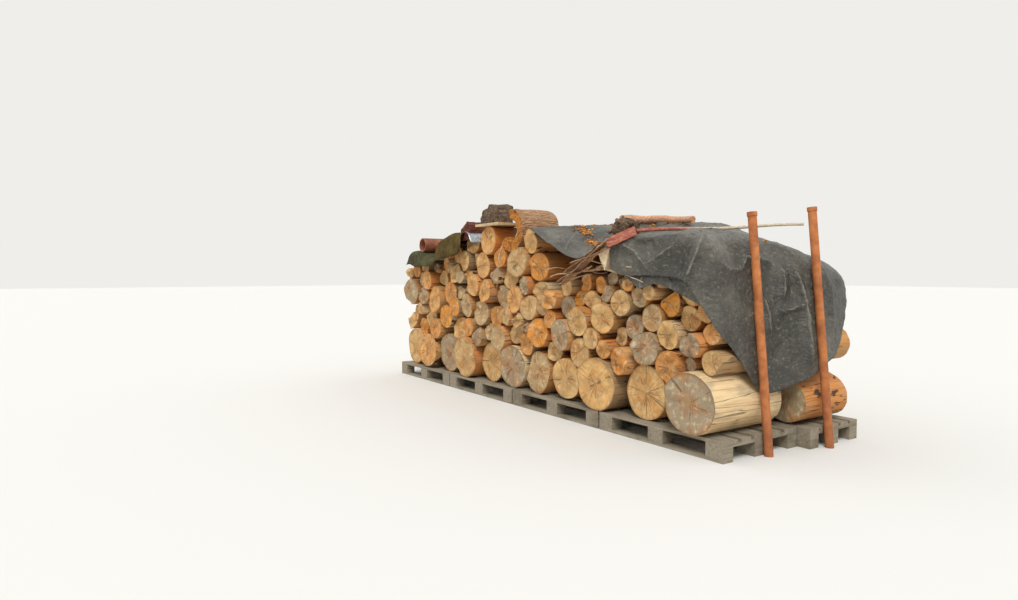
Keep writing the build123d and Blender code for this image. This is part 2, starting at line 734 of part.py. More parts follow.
def model():
    front, front_sides = front_row()
    back = back_row()
    nodes = {}
    nodes.update(pallets())
    nodes.update(stakes())
    nodes.update(log_nodes(front, back))
    crown = roof_crown(back)
    nodes["end_tarp"] = [end_tarp(crown)]
    nodes.update(things_on_front_row(front, front_sides, back))
    nodes.update(things_on_end_tarp(crown))
    return nodes


write(model())
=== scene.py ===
import json
import math
import random

import bpy
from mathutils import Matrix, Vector

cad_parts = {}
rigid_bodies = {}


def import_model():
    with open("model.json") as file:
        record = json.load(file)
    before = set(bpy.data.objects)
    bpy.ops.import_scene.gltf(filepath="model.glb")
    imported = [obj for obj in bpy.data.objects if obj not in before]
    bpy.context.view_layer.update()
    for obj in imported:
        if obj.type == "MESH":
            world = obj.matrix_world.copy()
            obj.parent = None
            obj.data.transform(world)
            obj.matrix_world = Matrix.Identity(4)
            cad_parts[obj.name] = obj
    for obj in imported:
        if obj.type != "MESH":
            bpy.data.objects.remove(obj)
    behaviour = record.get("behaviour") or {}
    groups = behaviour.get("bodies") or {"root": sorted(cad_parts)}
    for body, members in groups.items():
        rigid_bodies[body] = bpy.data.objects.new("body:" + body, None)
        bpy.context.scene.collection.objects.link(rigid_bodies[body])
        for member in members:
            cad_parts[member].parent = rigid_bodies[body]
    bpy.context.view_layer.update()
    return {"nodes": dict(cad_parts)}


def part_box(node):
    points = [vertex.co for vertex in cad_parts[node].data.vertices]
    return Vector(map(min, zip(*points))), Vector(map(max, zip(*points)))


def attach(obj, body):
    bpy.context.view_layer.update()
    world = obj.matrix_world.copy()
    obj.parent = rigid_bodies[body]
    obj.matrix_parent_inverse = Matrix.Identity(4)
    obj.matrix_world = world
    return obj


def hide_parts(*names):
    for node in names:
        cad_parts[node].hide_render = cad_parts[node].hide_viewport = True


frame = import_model()
mm = 0.001


# The stack's own measures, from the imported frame

deck_low, deck_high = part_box("front_pallet_deck_boards")
deck_top = deck_high.z
front_face = deck_low.y
right_end = deck_high.x


def on_stack(along, into, above):
    """A point measured from the pallets' right front corner: to the left, inwards and up from the deck."""
    return Vector((right_end - along, front_face + into, deck_top + above))


# Small tools

def linear(hex_colour):
    """An sRGB hex colour as the linear values that a shader takes."""
    channels = [int(hex_colour[i:i + 2], 16) / 255 for i in (1, 3, 5)]
    return [c / 12.92 if c <= 0.04045 else ((c + 0.055) / 1.055) ** 2.4 for c in channels] + [1.0]


def deselect_all():
    for other in bpy.context.selected_objects:
        other.select_set(False)


def only(piece):
    deselect_all()
    piece.select_set(True)
    bpy.context.view_layer.objects.active = piece
    return piece


def apply_modifiers(piece):
    only(piece)
    for modifier in list(piece.modifiers):
        bpy.ops.object.modifier_apply(modifier=modifier.name)


def leave_edit():
    bpy.ops.object.mode_set(mode="OBJECT")


def open_all(piece):
    """Opens a piece in edit mode with all of it selected."""
    only(piece)
    bpy.ops.object.mode_set(mode="EDIT")
    bpy.ops.mesh.select_all(action="SELECT")


def smooth_faces(piece, steepest=180):
    """Shades a piece smooth over edges that turn by less than so many degrees."""
    only(piece)
    if steepest == 180:
        bpy.ops.object.shade_smooth()
    else:
        bpy.ops.object.shade_smooth_by_angle(angle=math.radians(steepest))


def round_edges(piece, width, segments=1):
    bevel = piece.modifiers.new("edges", "BEVEL")
    bevel.width = width
    bevel.segments = segments
    bevel.limit_method = "ANGLE"
    apply_modifiers(piece)


def make_whole(piece, voxel):
    """Melts a piece's parts into one closed skin of small faces, as wide as a voxel."""
    skin = piece.modifiers.new("whole", "REMESH")
    skin.mode = "VOXEL"
    skin.voxel_size = voxel
    apply_modifiers(piece)


def settle_place(piece):
    """Puts a piece's place, turn and scale into its mesh."""
    only(piece)
    bpy.ops.object.transform_apply(location=True, rotation=True, scale=True)


def settle(piece, node, material=None):
    """A finished piece takes its material, its body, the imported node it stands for, if any."""
    if material:
        piece.data.materials.clear()
        piece.data.materials.append(material)
    settle_place(piece)
    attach(piece, "root")
    if node:
        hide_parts(node)
    return piece


def join(pieces, name):
    """Joins finished pieces into one that sits at the origin."""
    deselect_all()
    for piece in pieces:
        piece.select_set(True)
    bpy.context.view_layer.objects.active = pieces[0]
    if len(pieces) > 1:
        bpy.ops.object.join()
    joined = bpy.context.view_layer.objects.active
    settle_place(joined)
    joined.name = name
    joined.data.name = name
    return joined


def pick(mesh, element, wanted):
    """Opens a mesh in edit mode with just the vertices, edges or faces selected for which wanted is true."""
    bpy.ops.object.mode_set(mode="EDIT")
    bpy.ops.mesh.select_all(action="DESELECT")
    bpy.ops.mesh.select_mode(type={"vertices": "VERT", "edges": "EDGE", "polygons": "FACE"}[element])
    bpy.ops.object.mode_set(mode="OBJECT")
    for item in getattr(mesh, element):
        item.select = bool(wanted(item))
    bpy.ops.object.mode_set(mode="EDIT")


def span(mesh, edge):
    """The way from one end of an edge to the other."""
    a, b = (mesh.vertices[index].co for index in edge.vertices)
    return b - a


# The kinds of node, by the names a maker knows them by

maths = "ShaderNodeMath"
vector_maths = "ShaderNodeVectorMath"
noise = "ShaderNodeTexNoise"
cells = "ShaderNodeTexVoronoi"
mix = "ShaderNodeMix"
ramp = "ShaderNodeValToRGB"
remap = "ShaderNodeMapRange"
mapping = "ShaderNodeMapping"
relief_bump = "ShaderNodeBump"


def feed(node, feeds):
    """Feeds a node's inputs, each from another node's socket or with a plain value."""
    for name, value in feeds.items():
        if isinstance(value, bpy.types.NodeSocket):
            node.id_data.links.new(value, node.inputs[name])
        else:
            node.inputs[name].default_value = value


def add_node(tree, kind, feeds=None, stops=None, **settings):
    """Adds a node with its settings, what feeds it and its colour stops."""
    node = tree.nodes.new(kind)
    for name, value in settings.items():
        setattr(node, name, value)
    feed(node, feeds or {})
    if stops:
        elements = node.color_ramp.elements
        while len(elements) < len(stops):
            elements.new(0.5)
        for element, (place, colour) in zip(elements, stops):
            element.position = place
            element.color = linear(colour)
    return node


def new_material(name):
    """An empty material, its node tree and its surface shader."""
    material = bpy.data.materials.new(name)
    material.use_nodes = True
    return material, material.node_tree, material.node_tree.nodes["Principled BSDF"]


def surface(shader, colour, roughness, sheen, relief, strength, depth):
    """Gives a surface its colour and sheen, and a relief that stands so many metres high at full strength."""
    bump = add_node(shader.id_data, relief_bump, {"Height": relief, "Strength": strength, "Distance": depth})
    feed(shader, {"Base Color": colour, "Roughness": roughness, "Specular IOR Level": sheen,
                  "Normal": bump.outputs[0]})


# Camera, floor and light

camera_lens = 24.0
camera_film = 36.0
# to the right of the pallets' front corner, in front of them and above the deck
camera_right, camera_before, camera_above = 2.837, 3.590, 1.10
camera_turn, camera_drop = 56.0, 2.3


def set_camera():
    """The photograph's camera, as its perspective gives it."""
    data = bpy.data.cameras.new("camera")
    data.lens = camera_lens
    data.sensor_width = camera_film
    camera = bpy.data.objects.new("camera", data)
    bpy.context.collection.objects.link(camera)
    camera.location = on_stack(-camera_right, -camera_before, camera_above)
    turn = math.radians(camera_turn)
    drop = math.radians(camera_drop)
    ahead = Vector((-math.sin(turn) * math.cos(drop), math.cos(turn) * math.cos(drop), -math.sin(drop)))
    camera.rotation_euler = ahead.to_track_quat("-Z", "Y").to_euler()
    bpy.context.scene.camera = camera


def set_stage():
    """A plain pale floor and backdrop, lit softly and evenly as under a bright overcast sky."""
    deselect_all()
    bpy.ops.mesh.primitive_plane_add(size=120, location=(0, 0, 0))
    floor = bpy.context.object
    floor.name = "floor"
    material, tree, shader = new_material("plain_pale_floor")
    feed(shader, {"Base Color": linear("#dddbd6"), "Roughness": 0.9, "Specular IOR Level": 0.1})
    floor.data.materials.append(material)

    world = bpy.data.worlds.new("pale_studio")
    world.use_nodes = True
    bpy.context.scene.world = world
    tree = world.node_tree
    light = tree.nodes["Background"]
    feed(light, {"Color": linear("#f3f4f4"), "Strength": 0.7})
    seen = add_node(tree, "ShaderNodeBackground", {"Color": linear("#efeeea"), "Strength": 1.0})
    path = add_node(tree, "ShaderNodeLightPath").outputs
    sight = path["Is Camera Ray"]
    for ray in ("Is Glossy Ray", "Is Transmission Ray"):
        sight = add_node(tree, maths, {0: sight, 1: path[ray]}, operation="MAXIMUM").outputs[0]
    both = add_node(tree, "ShaderNodeMixShader", {0: sight, 1: light.outputs[0], 2: seen.outputs[0]})
    feed(tree.nodes["World Output"], {"Surface": both.outputs[0]})

    # name, direction that the light comes from, strength, softness in degrees
    for name, source, strength, softness in (
            ("soft_key", (0.75, -0.68, 1.2), 2.1, 25), ("soft_fill", (-0.8, -0.5, 0.7), 0.55, 60),
            ("soft_back", (0.2, 0.9, 0.9), 0.5, 60)):
        data = bpy.data.lights.new(name, "SUN")
        data.energy = strength
        data.angle = math.radians(softness)
        lamp = bpy.data.objects.new(name, data)
        bpy.context.collection.objects.link(lamp)
        lamp.rotation_euler = Vector(source).to_track_quat("Z", "Y").to_euler()
    bpy.context.scene.view_settings.view_transform = "Standard"


# Rounds of cordwood

def rounds_in(node_name):
    """The rounds of one packed course: middle, radius, front end and back end of each."""
    copy = frame["nodes"][node_name].copy()
    copy.data = frame["nodes"][node_name].data.copy()
    bpy.context.collection.objects.link(copy)
    open_all(copy)
    bpy.ops.mesh.remove_doubles(threshold=0.01 * mm)
    bpy.ops.mesh.separate(type="LOOSE")
    leave_edit()
    found = []
    for part in list(bpy.context.selected_objects):
        points = [v.co for v in part.data.vertices]
        xs = [p.x for p in points]
        ys = [p.y for p in points]
        zs = [p.z for p in points]
        middle = ((min(xs) + max(xs)) / 2, (min(zs) + max(zs)) / 2)
        found.append((middle[0], middle[1], (max(xs) - min(xs)) / 2, min(ys), max(ys)))
        mesh = part.data
        bpy.data.objects.remove(part)
        bpy.data.meshes.remove(mesh)
    return sorted(found)


def lumps(name, size, depth=2):
    """A cloudy texture of lumps so many metres wide, which pushes a surface out of true."""
    texture = bpy.data.textures.new(name, "CLOUDS")
    texture.noise_scale = size
    texture.noise_depth = depth
    return texture


def push_out(piece, texture, level, strength, place=None):
    """Pushes a surface out where a texture is above a level and in where it is below.

    The texture lies as the piece does, or as place does if that is given.
    """
    push = piece.modifiers.new("push", "DISPLACE")
    push.texture = texture
    push.texture_coords = "OBJECT" if place else "LOCAL"
    push.texture_coords_object = place
    push.mid_level = level
    push.strength = strength


def log_pattern(name, squeeze, flat_at, waver, offset, tilt):
    """One log of radius 1 and length 1, lying along Y with its front end at 0.

    squeeze narrows it one way, flat_at cuts the flat that a split leaves, waver is how far its outline
    wanders and tilt is how far its sawn ends lean, in degrees of this short pattern.
    """
    deselect_all()
    bpy.ops.mesh.primitive_cylinder_add(
        vertices=26, radius=1, depth=1, end_fill_type="NGON", location=(0, 0.5, 0),
        rotation=(math.pi / 2, 0, 0))
    log = bpy.context.object
    settle_place(log)
    mesh = log.data
    pick(mesh, "edges", lambda e: abs(span(mesh, e).y) > 0.5)
    bpy.ops.mesh.subdivide(number_cuts=5)
    leave_edit()
    if flat_at < 1:
        open_all(log)
        bpy.ops.mesh.bisect(plane_co=(0, 0, flat_at), plane_no=(0, 0, 1), use_fill=True, clear_outer=True)
        leave_edit()
    # rings of faces on the sawn ends: the rim, then shallower steps where a split has taken wood away
    pick(mesh, "polygons", lambda f: abs(f.normal.y) > 0.9)
    for step in (0.05, 0.26, 0.32) if flat_at == 1 else (0.05, 0.16, 0.18):
        bpy.ops.mesh.inset(thickness=step, use_individual=True)
    leave_edit()
    for end, lean in ((0, tilt), (1, -tilt)):
        pick(mesh, "vertices", lambda v: abs(v.co.y - end) < 0.01)
        for axis, angle in (("X", lean), ("Z", 0.7 * lean)):
            bpy.ops.transform.rotate(value=math.radians(angle), orient_axis=axis, center_override=(0, end, 0))
        leave_edit()
    for face in mesh.polygons:
        face.material_index = 0 if abs(face.normal.y) > 0.7 else 1
    only(log)
    log.scale = (squeeze, 1, 1)
    settle_place(log)
    place = bpy.data.objects.new(name + " place", None)
    bpy.context.collection.objects.link(place)
    place.location = (offset, offset * 0.7, -offset)
    place.scale = (1, 2.2, 1)
    for kind, size, strength in (("outline", 0.95, waver), ("knots", 0.32, waver * 0.4)):
        push_out(log, lumps(name + " " + kind, size), 0.55, strength, place)
    apply_modifiers(log)
    bpy.data.objects.remove(place)
    smooth_faces(log, 42)
    log.name = name
    return log


def log_uv(mesh, radius):
    """Unrolls a log in metres: its ends as seen, its side by girth and length."""
    layer = mesh.uv_layers[0]
    layer.name = "log_uv"
    for face in mesh.polygons:
        on_end = face.material_index == 0
        middle = math.atan2(face.center.z, face.center.x)
        for index in face.loop_indices:
            p = mesh.vertices[mesh.loops[index].vertex_index].co
            if on_end:
                layer.data[index].uv = (p.x, p.z)
            else:
                around = math.atan2(p.z, p.x)
                if around - middle > math.pi:
                    around -= 2 * math.pi
                if around - middle < -math.pi:
                    around += 2 * math.pi
                layer.data[index].uv = (around * radius, p.y)


def lay_log(pattern, place, turn, look):
    """A copy of a pattern log at its place in the stack, with its own unrolling and look."""
    x, z, radius, front, back = place
    log = pattern.copy()
    log.data = pattern.data.copy()
    bpy.context.collection.objects.link(log)
    log.scale = (radius, back - front, radius)
    log.rotation_euler = (0, turn, 0)
    settle_place(log)
    log_uv(log.data, radius)
    tone, shade, seed = look
    attribute = log.data.color_attributes.new("log_look", "FLOAT_COLOR", "POINT")
    attribute.data.foreach_set("color", [tone, shade, seed, radius] * len(log.data.vertices))
    log.location = (x, front, z)
    return log


# Finishes of the logs, the tarps, the stakes and the pallets

def read_log(tree, far):
    """What a log's finish reads: its unrolling, radius and look, how its pattern is shifted, and to where.

    The look holds tone as red, shade as green and seed as blue. far is how many metres the seed may shift the
    pattern, so that no two logs show the same part of it.
    """
    place = add_node(tree, "ShaderNodeUVMap", uv_map="log_uv").outputs["UV"]
    stored = add_node(tree, "ShaderNodeAttribute", attribute_name="log_look").outputs
    look = add_node(tree, "ShaderNodeSeparateColor", {"Color": stored["Color"]}).outputs
    seed_far = add_node(tree, maths, {0: look["Blue"], 1: far}, operation="MULTIPLY").outputs[0]
    shift = add_node(tree, "ShaderNodeCombineXYZ", {"Z": seed_far}).outputs[0]
    spot = add_node(tree, vector_maths, {0: place, 1: shift}, operation="ADD").outputs[0]
    return place, stored["Alpha"], look, shift, spot


def sawn_end_grain():
    """Sawn end grain, dried outdoors for a year: tan to grey, with radial drying checks and a darker rim.

    The checks open from the heart towards the rim as the wood shrinks. The year rings of the real wood are
    some 3 mm wide; they are drawn 9 mm wide here so that they show in the render.
    """
    material, tree, shader = new_material("sawn_end_grain")
    place, radius, look, shift, spot = read_log(tree, 40.0)
    reach = add_node(tree, vector_maths, {0: place}, operation="LENGTH").outputs["Value"]
    share = add_node(tree, maths, {0: reach, 1: radius}, operation="DIVIDE").outputs[0]

    # sun and rain: grey, orange and pale blotches 35 mm to 125 mm across, over the wood's own colour
    aged = add_node(tree, ramp, {"Fac": look["Red"]}, stops=[
        (0.0, "#9a8b76"), (0.2, "#b09a76"), (0.4, "#cba36a"), (0.6, "#deb271"), (0.78, "#d99c55"),
        (0.9, "#d4883a"), (1.0, "#e08f1f")]).outputs["Color"]
    # a noise's scale, detail, roughness and distortion, then where its stain starts and ends, and its share
    stains = [((13.0, 5.0, 0.62, 0.0), (0.44, 0.68, 0.55), "#8f7a5c"),
              ((8.0, 4.0, 0.5, 0.6), (0.5, 0.66, 0.55), "#bf7a34"),
              ((27.0, 3.0, 0.5, 0.0), (0.52, 0.72, 0.5), "#ecd6ac")]
    for field, reach_of_stain, colour in stains:
        feeds = dict(zip(("Scale", "Detail", "Roughness", "Distortion"), field), Vector=spot)
        value = add_node(tree, noise, feeds).outputs["Fac"]
        feeds = dict(zip(("From Min", "From Max", "To Max"), reach_of_stain), Value=value)
        stained = add_node(tree, remap, feeds).outputs[0]
        aged = add_node(tree, mix, {0: stained, 6: aged, 7: linear(colour)}, data_type="RGBA").outputs[2]

    # heartwood off the middle, as it grows
    heart_drift = add_node(tree, noise, {"Vector": spot, "Scale": 6.0}).outputs["Fac"]
    heart_edge = add_node(tree, maths, {0: heart_drift, 1: share}, operation="SUBTRACT").outputs[0]
    heart = add_node(tree, remap, {"Value": heart_edge, "From Min": -0.05, "From Max": 0.1,
                                   "To Max": 0.34}).outputs[0]
    hearted = add_node(tree, mix, {0: heart, 6: aged, 7: linear("#ad7440")}, data_type="RGBA").outputs[2]

    # year rings
    warp = add_node(tree, noise, {"Vector": spot, "Scale": 10.0, "Detail": 2.0}).outputs["Fac"]
    warped = add_node(tree, maths, {0: warp, 1: 0.03, 2: reach}, operation="MULTIPLY_ADD").outputs[0]
    ring_turns = add_node(tree, maths, {0: warped, 1: 2 * math.pi / (9 * mm)},
                          operation="MULTIPLY").outputs[0]
    rings = add_node(tree, maths, {0: ring_turns}, operation="SINE").outputs[0]
    ring_dark = add_node(tree, remap, {"Value": rings, "From Min": -0.4, "From Max": 1.0,
                                       "To Max": 0.17}).outputs[0]
    ringed = add_node(tree, mix, {0: ring_dark, 6: hearted, 7: linear("#6b4f33")},
                      data_type="RGBA").outputs[2]

    # saw marks straight across
    saw_place = add_node(tree, mapping, {"Vector": spot, "Scale": (230.0, 14.0, 1.0),
                                         "Rotation": (0, 0, 0.7)}).outputs[0]
    saw_marks = add_node(tree, noise, {"Vector": saw_place, "Scale": 1.0, "Detail": 3.0}).outputs["Fac"]
    saw_pale = add_node(tree, remap, {"Value": saw_marks, "From Min": 0.5, "From Max": 0.75,
                                      "To Max": 0.3}).outputs[0]
    sawn = add_node(tree, mix, {0: saw_pale, 6: ringed, 7: linear("#dcc8a4")}, data_type="RGBA").outputs[2]

    # drying checks along the radius, each in its own direction
    heading = add_node(tree, vector_maths, {0: place}, operation="NORMALIZE").outputs[0]
    widened = add_node(tree, vector_maths, {0: heading, "Scale": 2.4}, operation="SCALE").outputs[0]
    ray_place = add_node(tree, vector_maths, {0: widened, 1: shift}, operation="ADD").outputs[0]
    ray = add_node(tree, noise, {"Vector": ray_place, "Scale": 1.25, "Detail": 2.5,
                                 "Roughness": 0.72}).outputs["Fac"]
    off_ray = add_node(tree, maths, {0: ray, 1: 0.5}, operation="SUBTRACT").outputs[0]
    off_ray = add_node(tree, maths, {0: off_ray}, operation="ABSOLUTE").outputs[0]
    check_width = add_node(tree, remap, {"Value": share, "From Min": 0.05, "From Max": 1.0, "To Min": 0.021,
                                         "To Max": 0.004}).outputs[0]
    check_run = add_node(tree, noise, {"Vector": spot, "Scale": 8.0}).outputs["Fac"]
    check_run = add_node(tree, remap, {"Value": check_run, "From Min": 0.47, "From Max": 0.52}).outputs[0]
    check_width = add_node(tree, maths, {0: check_width, 1: check_run}, operation="MULTIPLY").outputs[0]
    check = add_node(tree, maths, {0: off_ray, 1: check_width}, operation="LESS_THAN").outputs[0]
    checked = add_node(tree, maths, {0: check, 1: 0.6}, operation="MULTIPLY").outputs[0]
    split = add_node(tree, mix, {0: checked, 6: sawn, 7: linear("#4a3521")}, data_type="RGBA").outputs[2]

    # inner bark round the rim
    rim = add_node(tree, remap, {"Value": share, "From Min": 0.88, "From Max": 0.98,
                                 "To Max": 0.55}).outputs[0]
    rimmed = add_node(tree, mix, {0: rim, 6: split, 7: linear("#8a5c33")}, data_type="RGBA").outputs[2]
    grit = add_node(tree, noise, {"Vector": spot, "Scale": 380.0, "Detail": 2.0}).outputs["Fac"]
    relief = add_node(tree, maths, {0: rings, 1: 0.15, 2: grit}, operation="MULTIPLY_ADD").outputs[0]
    relief = add_node(tree, maths, {0: check, 1: -2.5, 2: relief}, operation="MULTIPLY_ADD").outputs[0]
    relief = add_node(tree, maths, {0: saw_marks, 1: 0.6, 2: relief}, operation="MULTIPLY_ADD").outputs[0]
    surface(shader, colour=rimmed, roughness=0.88, sheen=0.25, relief=relief, strength=0.75, depth=3 * mm)
    return material


def peeled_log_side():
    """Peeled pine: smooth orange-brown to cream, streaked along the grain, with strips of bark left on.

    It gives the eye long fibres and thin drying cracks, and dark patches where the bark stayed.
    """
    material, tree, shader = new_material("peeled_log_side")
    _, _, look, _, spot = read_log(tree, 37.0)

    # the wood's own colour, in fibres some 15 mm wide and 300 mm long
    wood = add_node(tree, ramp, {"Fac": look["Green"]}, stops=[
        (0.0, "#9b8768"), (0.25, "#bd8f58"), (0.5, "#cf8340"), (0.75, "#d9a76c"),
        (1.0, "#e6d0a4")]).outputs["Color"]
    fibre_place = add_node(tree, mapping, {"Vector": spot, "Scale": (60.0, 3.0, 1.0)}).outputs[0]
    fibres = add_node(tree, noise, {"Vector": fibre_place, "Scale": 1.0, "Detail": 5.0,
                                    "Roughness": 0.65}).outputs["Fac"]
    streak = add_node(tree, remap, {"Value": fibres, "From Min": 0.45, "From Max": 0.7,
                                    "To Max": 0.5}).outputs[0]
    streaked = add_node(tree, mix, {0: streak, 6: wood, 7: linear("#9a6431")}, data_type="RGBA").outputs[2]

    # weathered grey on one hand, bark on the other, in patches some 90 mm by 220 mm
    patch_place = add_node(tree, mapping, {"Vector": spot, "Scale": (11.0, 4.5, 1.0)}).outputs[0]
    patches = add_node(tree, noise, {"Vector": patch_place, "Scale": 1.0, "Detail": 6.0,
                                     "Roughness": 0.6}).outputs["Fac"]
    grey = add_node(tree, remap, {"Value": patches, "From Min": 0.5, "From Max": 0.34,
                                  "To Max": 0.6}).outputs[0]
    weathered = add_node(tree, mix, {0: grey, 6: streaked, 7: linear("#a5947a")}, data_type="RGBA").outputs[2]
    bark_share = add_node(tree, maths, {0: look["Blue"], 1: 7.3}, operation="MULTIPLY").outputs[0]
    bark_share = add_node(tree, maths, {0: bark_share}, operation="FRACT").outputs[0]
    bark_from = add_node(tree, maths, {0: bark_share, 1: -0.24, 2: 0.76}, operation="MULTIPLY_ADD").outputs[0]
    bark_to = add_node(tree, maths, {0: bark_from, 1: 0.03}, operation="ADD").outputs[0]
    bark = add_node(tree, remap, {"Value": patches, "From Min": bark_from, "From Max": bark_to}).outputs[0]
    scales = add_node(tree, cells, {"Vector": patch_place, "Scale": 7.0}, feature="F1").outputs["Distance"]
    bark_tone = add_node(tree, ramp, {"Fac": scales},
                         stops=[(0.0, "#6a4f39"), (0.6, "#493727"), (1.0, "#2c221a")]).outputs["Color"]
    barked = add_node(tree, mix, {0: bark, 6: weathered, 7: bark_tone}, data_type="RGBA").outputs[2]

    # drying cracks along the log, some 40 mm apart at the closest
    crack_place = add_node(tree, mapping, {"Vector": spot, "Scale": (24.0, 1.1, 1.0)}).outputs[0]
    crack_field = add_node(tree, noise, {"Vector": crack_place, "Scale": 1.0, "Detail": 1.0}).outputs["Fac"]
    off_crack = add_node(tree, maths, {0: crack_field, 1: 0.5}, operation="SUBTRACT").outputs[0]
    off_crack = add_node(tree, maths, {0: off_crack}, operation="ABSOLUTE").outputs[0]
    crack = add_node(tree, remap, {"Value": off_crack, "From Min": 0.012, "From Max": 0.005}).outputs[0]
    crack_dark = add_node(tree, maths, {0: crack, 1: 0.6}, operation="MULTIPLY").outputs[0]
    cracked = add_node(tree, mix, {0: crack_dark, 6: barked, 7: linear("#38291c")},
                       data_type="RGBA").outputs[2]
    relief = add_node(tree, maths, {0: fibres, 1: 0.5, 2: bark}, operation="MULTIPLY_ADD").outputs[0]
    rough_bark = add_node(tree, maths, {0: scales, 1: bark}, operation="MULTIPLY").outputs[0]
    relief = add_node(tree, maths, {0: rough_bark, 1: -1.2, 2: relief}, operation="MULTIPLY_ADD").outputs[0]
    relief = add_node(tree, maths, {0: crack, 1: -1.0, 2: relief}, operation="MULTIPLY_ADD").outputs[0]
    surface(shader, colour=cracked, roughness=0.78, sheen=0.3, relief=relief, strength=0.9, depth=4 * mm)
    return material


def woven_sheeting():
    """Dark grey sheeting of woven flat plastic tape: a soft sheen, dust, pale ridges of wear and painted
    highlight.

    The tapes are 2.5 mm wide. They are drawn 6 mm wide here so that the weave just shows.
    """
    material, tree, shader = new_material("woven_coated_sheeting")
    place = add_node(tree, "ShaderNodeUVMap", uv_map="cloth_uv").outputs["UV"]
    solid_place = add_node(tree, "ShaderNodeTexCoord").outputs["Object"]
    broad = add_node(tree, noise, {"Vector": solid_place, "Scale": 2.2, "Detail": 6.0,
                                   "Roughness": 0.65}).outputs["Fac"]
    dust = add_node(tree, remap, {"Value": broad, "From Min": 0.42, "From Max": 0.72}).outputs[0]
    cloth = add_node(tree, ramp, {"Fac": dust},
                     stops=[(0.0, "#38352e"), (0.45, "#504d43"), (1.0, "#77736a")]).outputs["Color"]
    specks = add_node(tree, noise, {"Vector": solid_place, "Scale": 38.0, "Detail": 5.0,
                                    "Roughness": 0.7}).outputs["Fac"]
    speckled = add_node(tree, remap, {"Value": specks, "From Min": 0.54, "From Max": 0.72,
                                      "To Max": 0.55}).outputs[0]
    dusted = add_node(tree, mix, {0: speckled, 6: cloth, 7: linear("#948f80")}, data_type="RGBA").outputs[2]
    # pale marks: along the frayed hem they are wear, along narrow ridges they are wear and a painted highlight
    wear = add_node(tree, "ShaderNodeAttribute", attribute_name="cloth_wear").outputs["Fac"]
    broken_wear_and_highlight = add_node(tree, maths, {0: wear, 1: specks}, operation="MULTIPLY").outputs[0]
    worn = add_node(tree, remap, {"Value": broken_wear_and_highlight, "From Min": 0.25, "From Max": 0.6,
                                  "To Max": 0.5}).outputs[0]
    ridged = add_node(tree, mix, {0: worn, 6: dusted, 7: linear("#a8a396")}, data_type="RGBA").outputs[2]
    shine = add_node(tree, remap, {"Value": specks, "From Min": 0.3, "From Max": 0.7, "To Min": 0.3,
                                   "To Max": 0.52}).outputs[0]

    # the weave, and the small crumples that a stiff coated sheet keeps
    apart = add_node(tree, "ShaderNodeSeparateXYZ", {0: place})
    waves = []
    for axis in ("X", "Y"):
        turns = add_node(tree, maths, {0: apart.outputs[axis], 1: 2 * math.pi / (6 * mm)},
                         operation="MULTIPLY").outputs[0]
        waves.append(add_node(tree, maths, {0: turns}, operation="SINE").outputs[0])
    weave = add_node(tree, maths, {0: waves[0], 1: waves[1]}, operation="MULTIPLY").outputs[0]
    relief = 0.0
    crease_place = add_node(tree, mapping, {"Vector": solid_place, "Scale": (1.0, 1.0, 2.2)}).outputs[0]
    for size, strength in ((11.0, 0.5), (30.0, 0.4), (75.0, 0.16)):
        field = add_node(tree, noise, {"Vector": crease_place, "Scale": size, "Detail": 3.0,
                                       "Roughness": 0.6}).outputs["Fac"]
        off_middle = add_node(tree, maths, {0: field, 1: 0.5}, operation="SUBTRACT").outputs[0]
        ridge = add_node(tree, maths, {0: off_middle}, operation="ABSOLUTE").outputs[0]
        relief = add_node(tree, maths, {0: ridge, 1: -strength, 2: relief}, operation="MULTIPLY_ADD").outputs[0]
    coarse = add_node(tree, relief_bump, {"Height": relief, "Strength": 0.9, "Distance": 34 * mm})
    fine = add_node(tree, relief_bump, {"Height": weave, "Strength": 0.25, "Distance": 0.6 * mm,
                                        "Normal": coarse.outputs[0]})
    feed(shader, {"Base Color": ridged, "Roughness": shine, "Specular IOR Level": 0.55,
                  "Normal": fine.outputs[0]})
    return material


def rusted_tube():
    """Steel water pipe left to rust: orange-brown scale in blotches, darker towards the ground."""
    material, tree, shader = new_material("rusted_steel_tube")
    place = add_node(tree, "ShaderNodeTexCoord").outputs["Object"]
    height = add_node(tree, "ShaderNodeSeparateXYZ", {0: place}).outputs["Z"]
    broad = add_node(tree, noise, {"Vector": place, "Scale": 9.0, "Detail": 6.0,
                                   "Roughness": 0.68}).outputs["Fac"]
    rust = add_node(tree, ramp, {"Fac": broad}, stops=[
        (0.25, "#7b4729"), (0.42, "#a36138"), (0.55, "#bc7442"), (0.7, "#c9824e"),
        (0.85, "#d2996c")]).outputs["Color"]
    # darker from 0.6 m above the ground down to the foot of the tube
    low_darkening = add_node(tree, remap, {"Value": height, "From Min": 0.6, "From Max": 0.02,
                                  "To Max": 0.4}).outputs[0]
    darkened_low = add_node(tree, mix, {0: low_darkening, 6: rust, 7: linear("#7d5038")}, data_type="RGBA").outputs[2]
    pits = add_node(tree, noise, {"Vector": place, "Scale": 120.0, "Detail": 4.0,
                                  "Roughness": 0.75}).outputs["Fac"]
    pitted = add_node(tree, remap, {"Value": pits, "From Min": 0.55, "From Max": 0.75,
                                    "To Max": 0.5}).outputs[0]
    scaled = add_node(tree, mix, {0: pitted, 6: darkened_low, 7: linear("#6b412b")}, data_type="RGBA").outputs[2]
    surface(shader, colour=scaled, roughness=0.82, sheen=0.35, relief=pits, strength=0.6, depth=1.5 * mm)
    return material


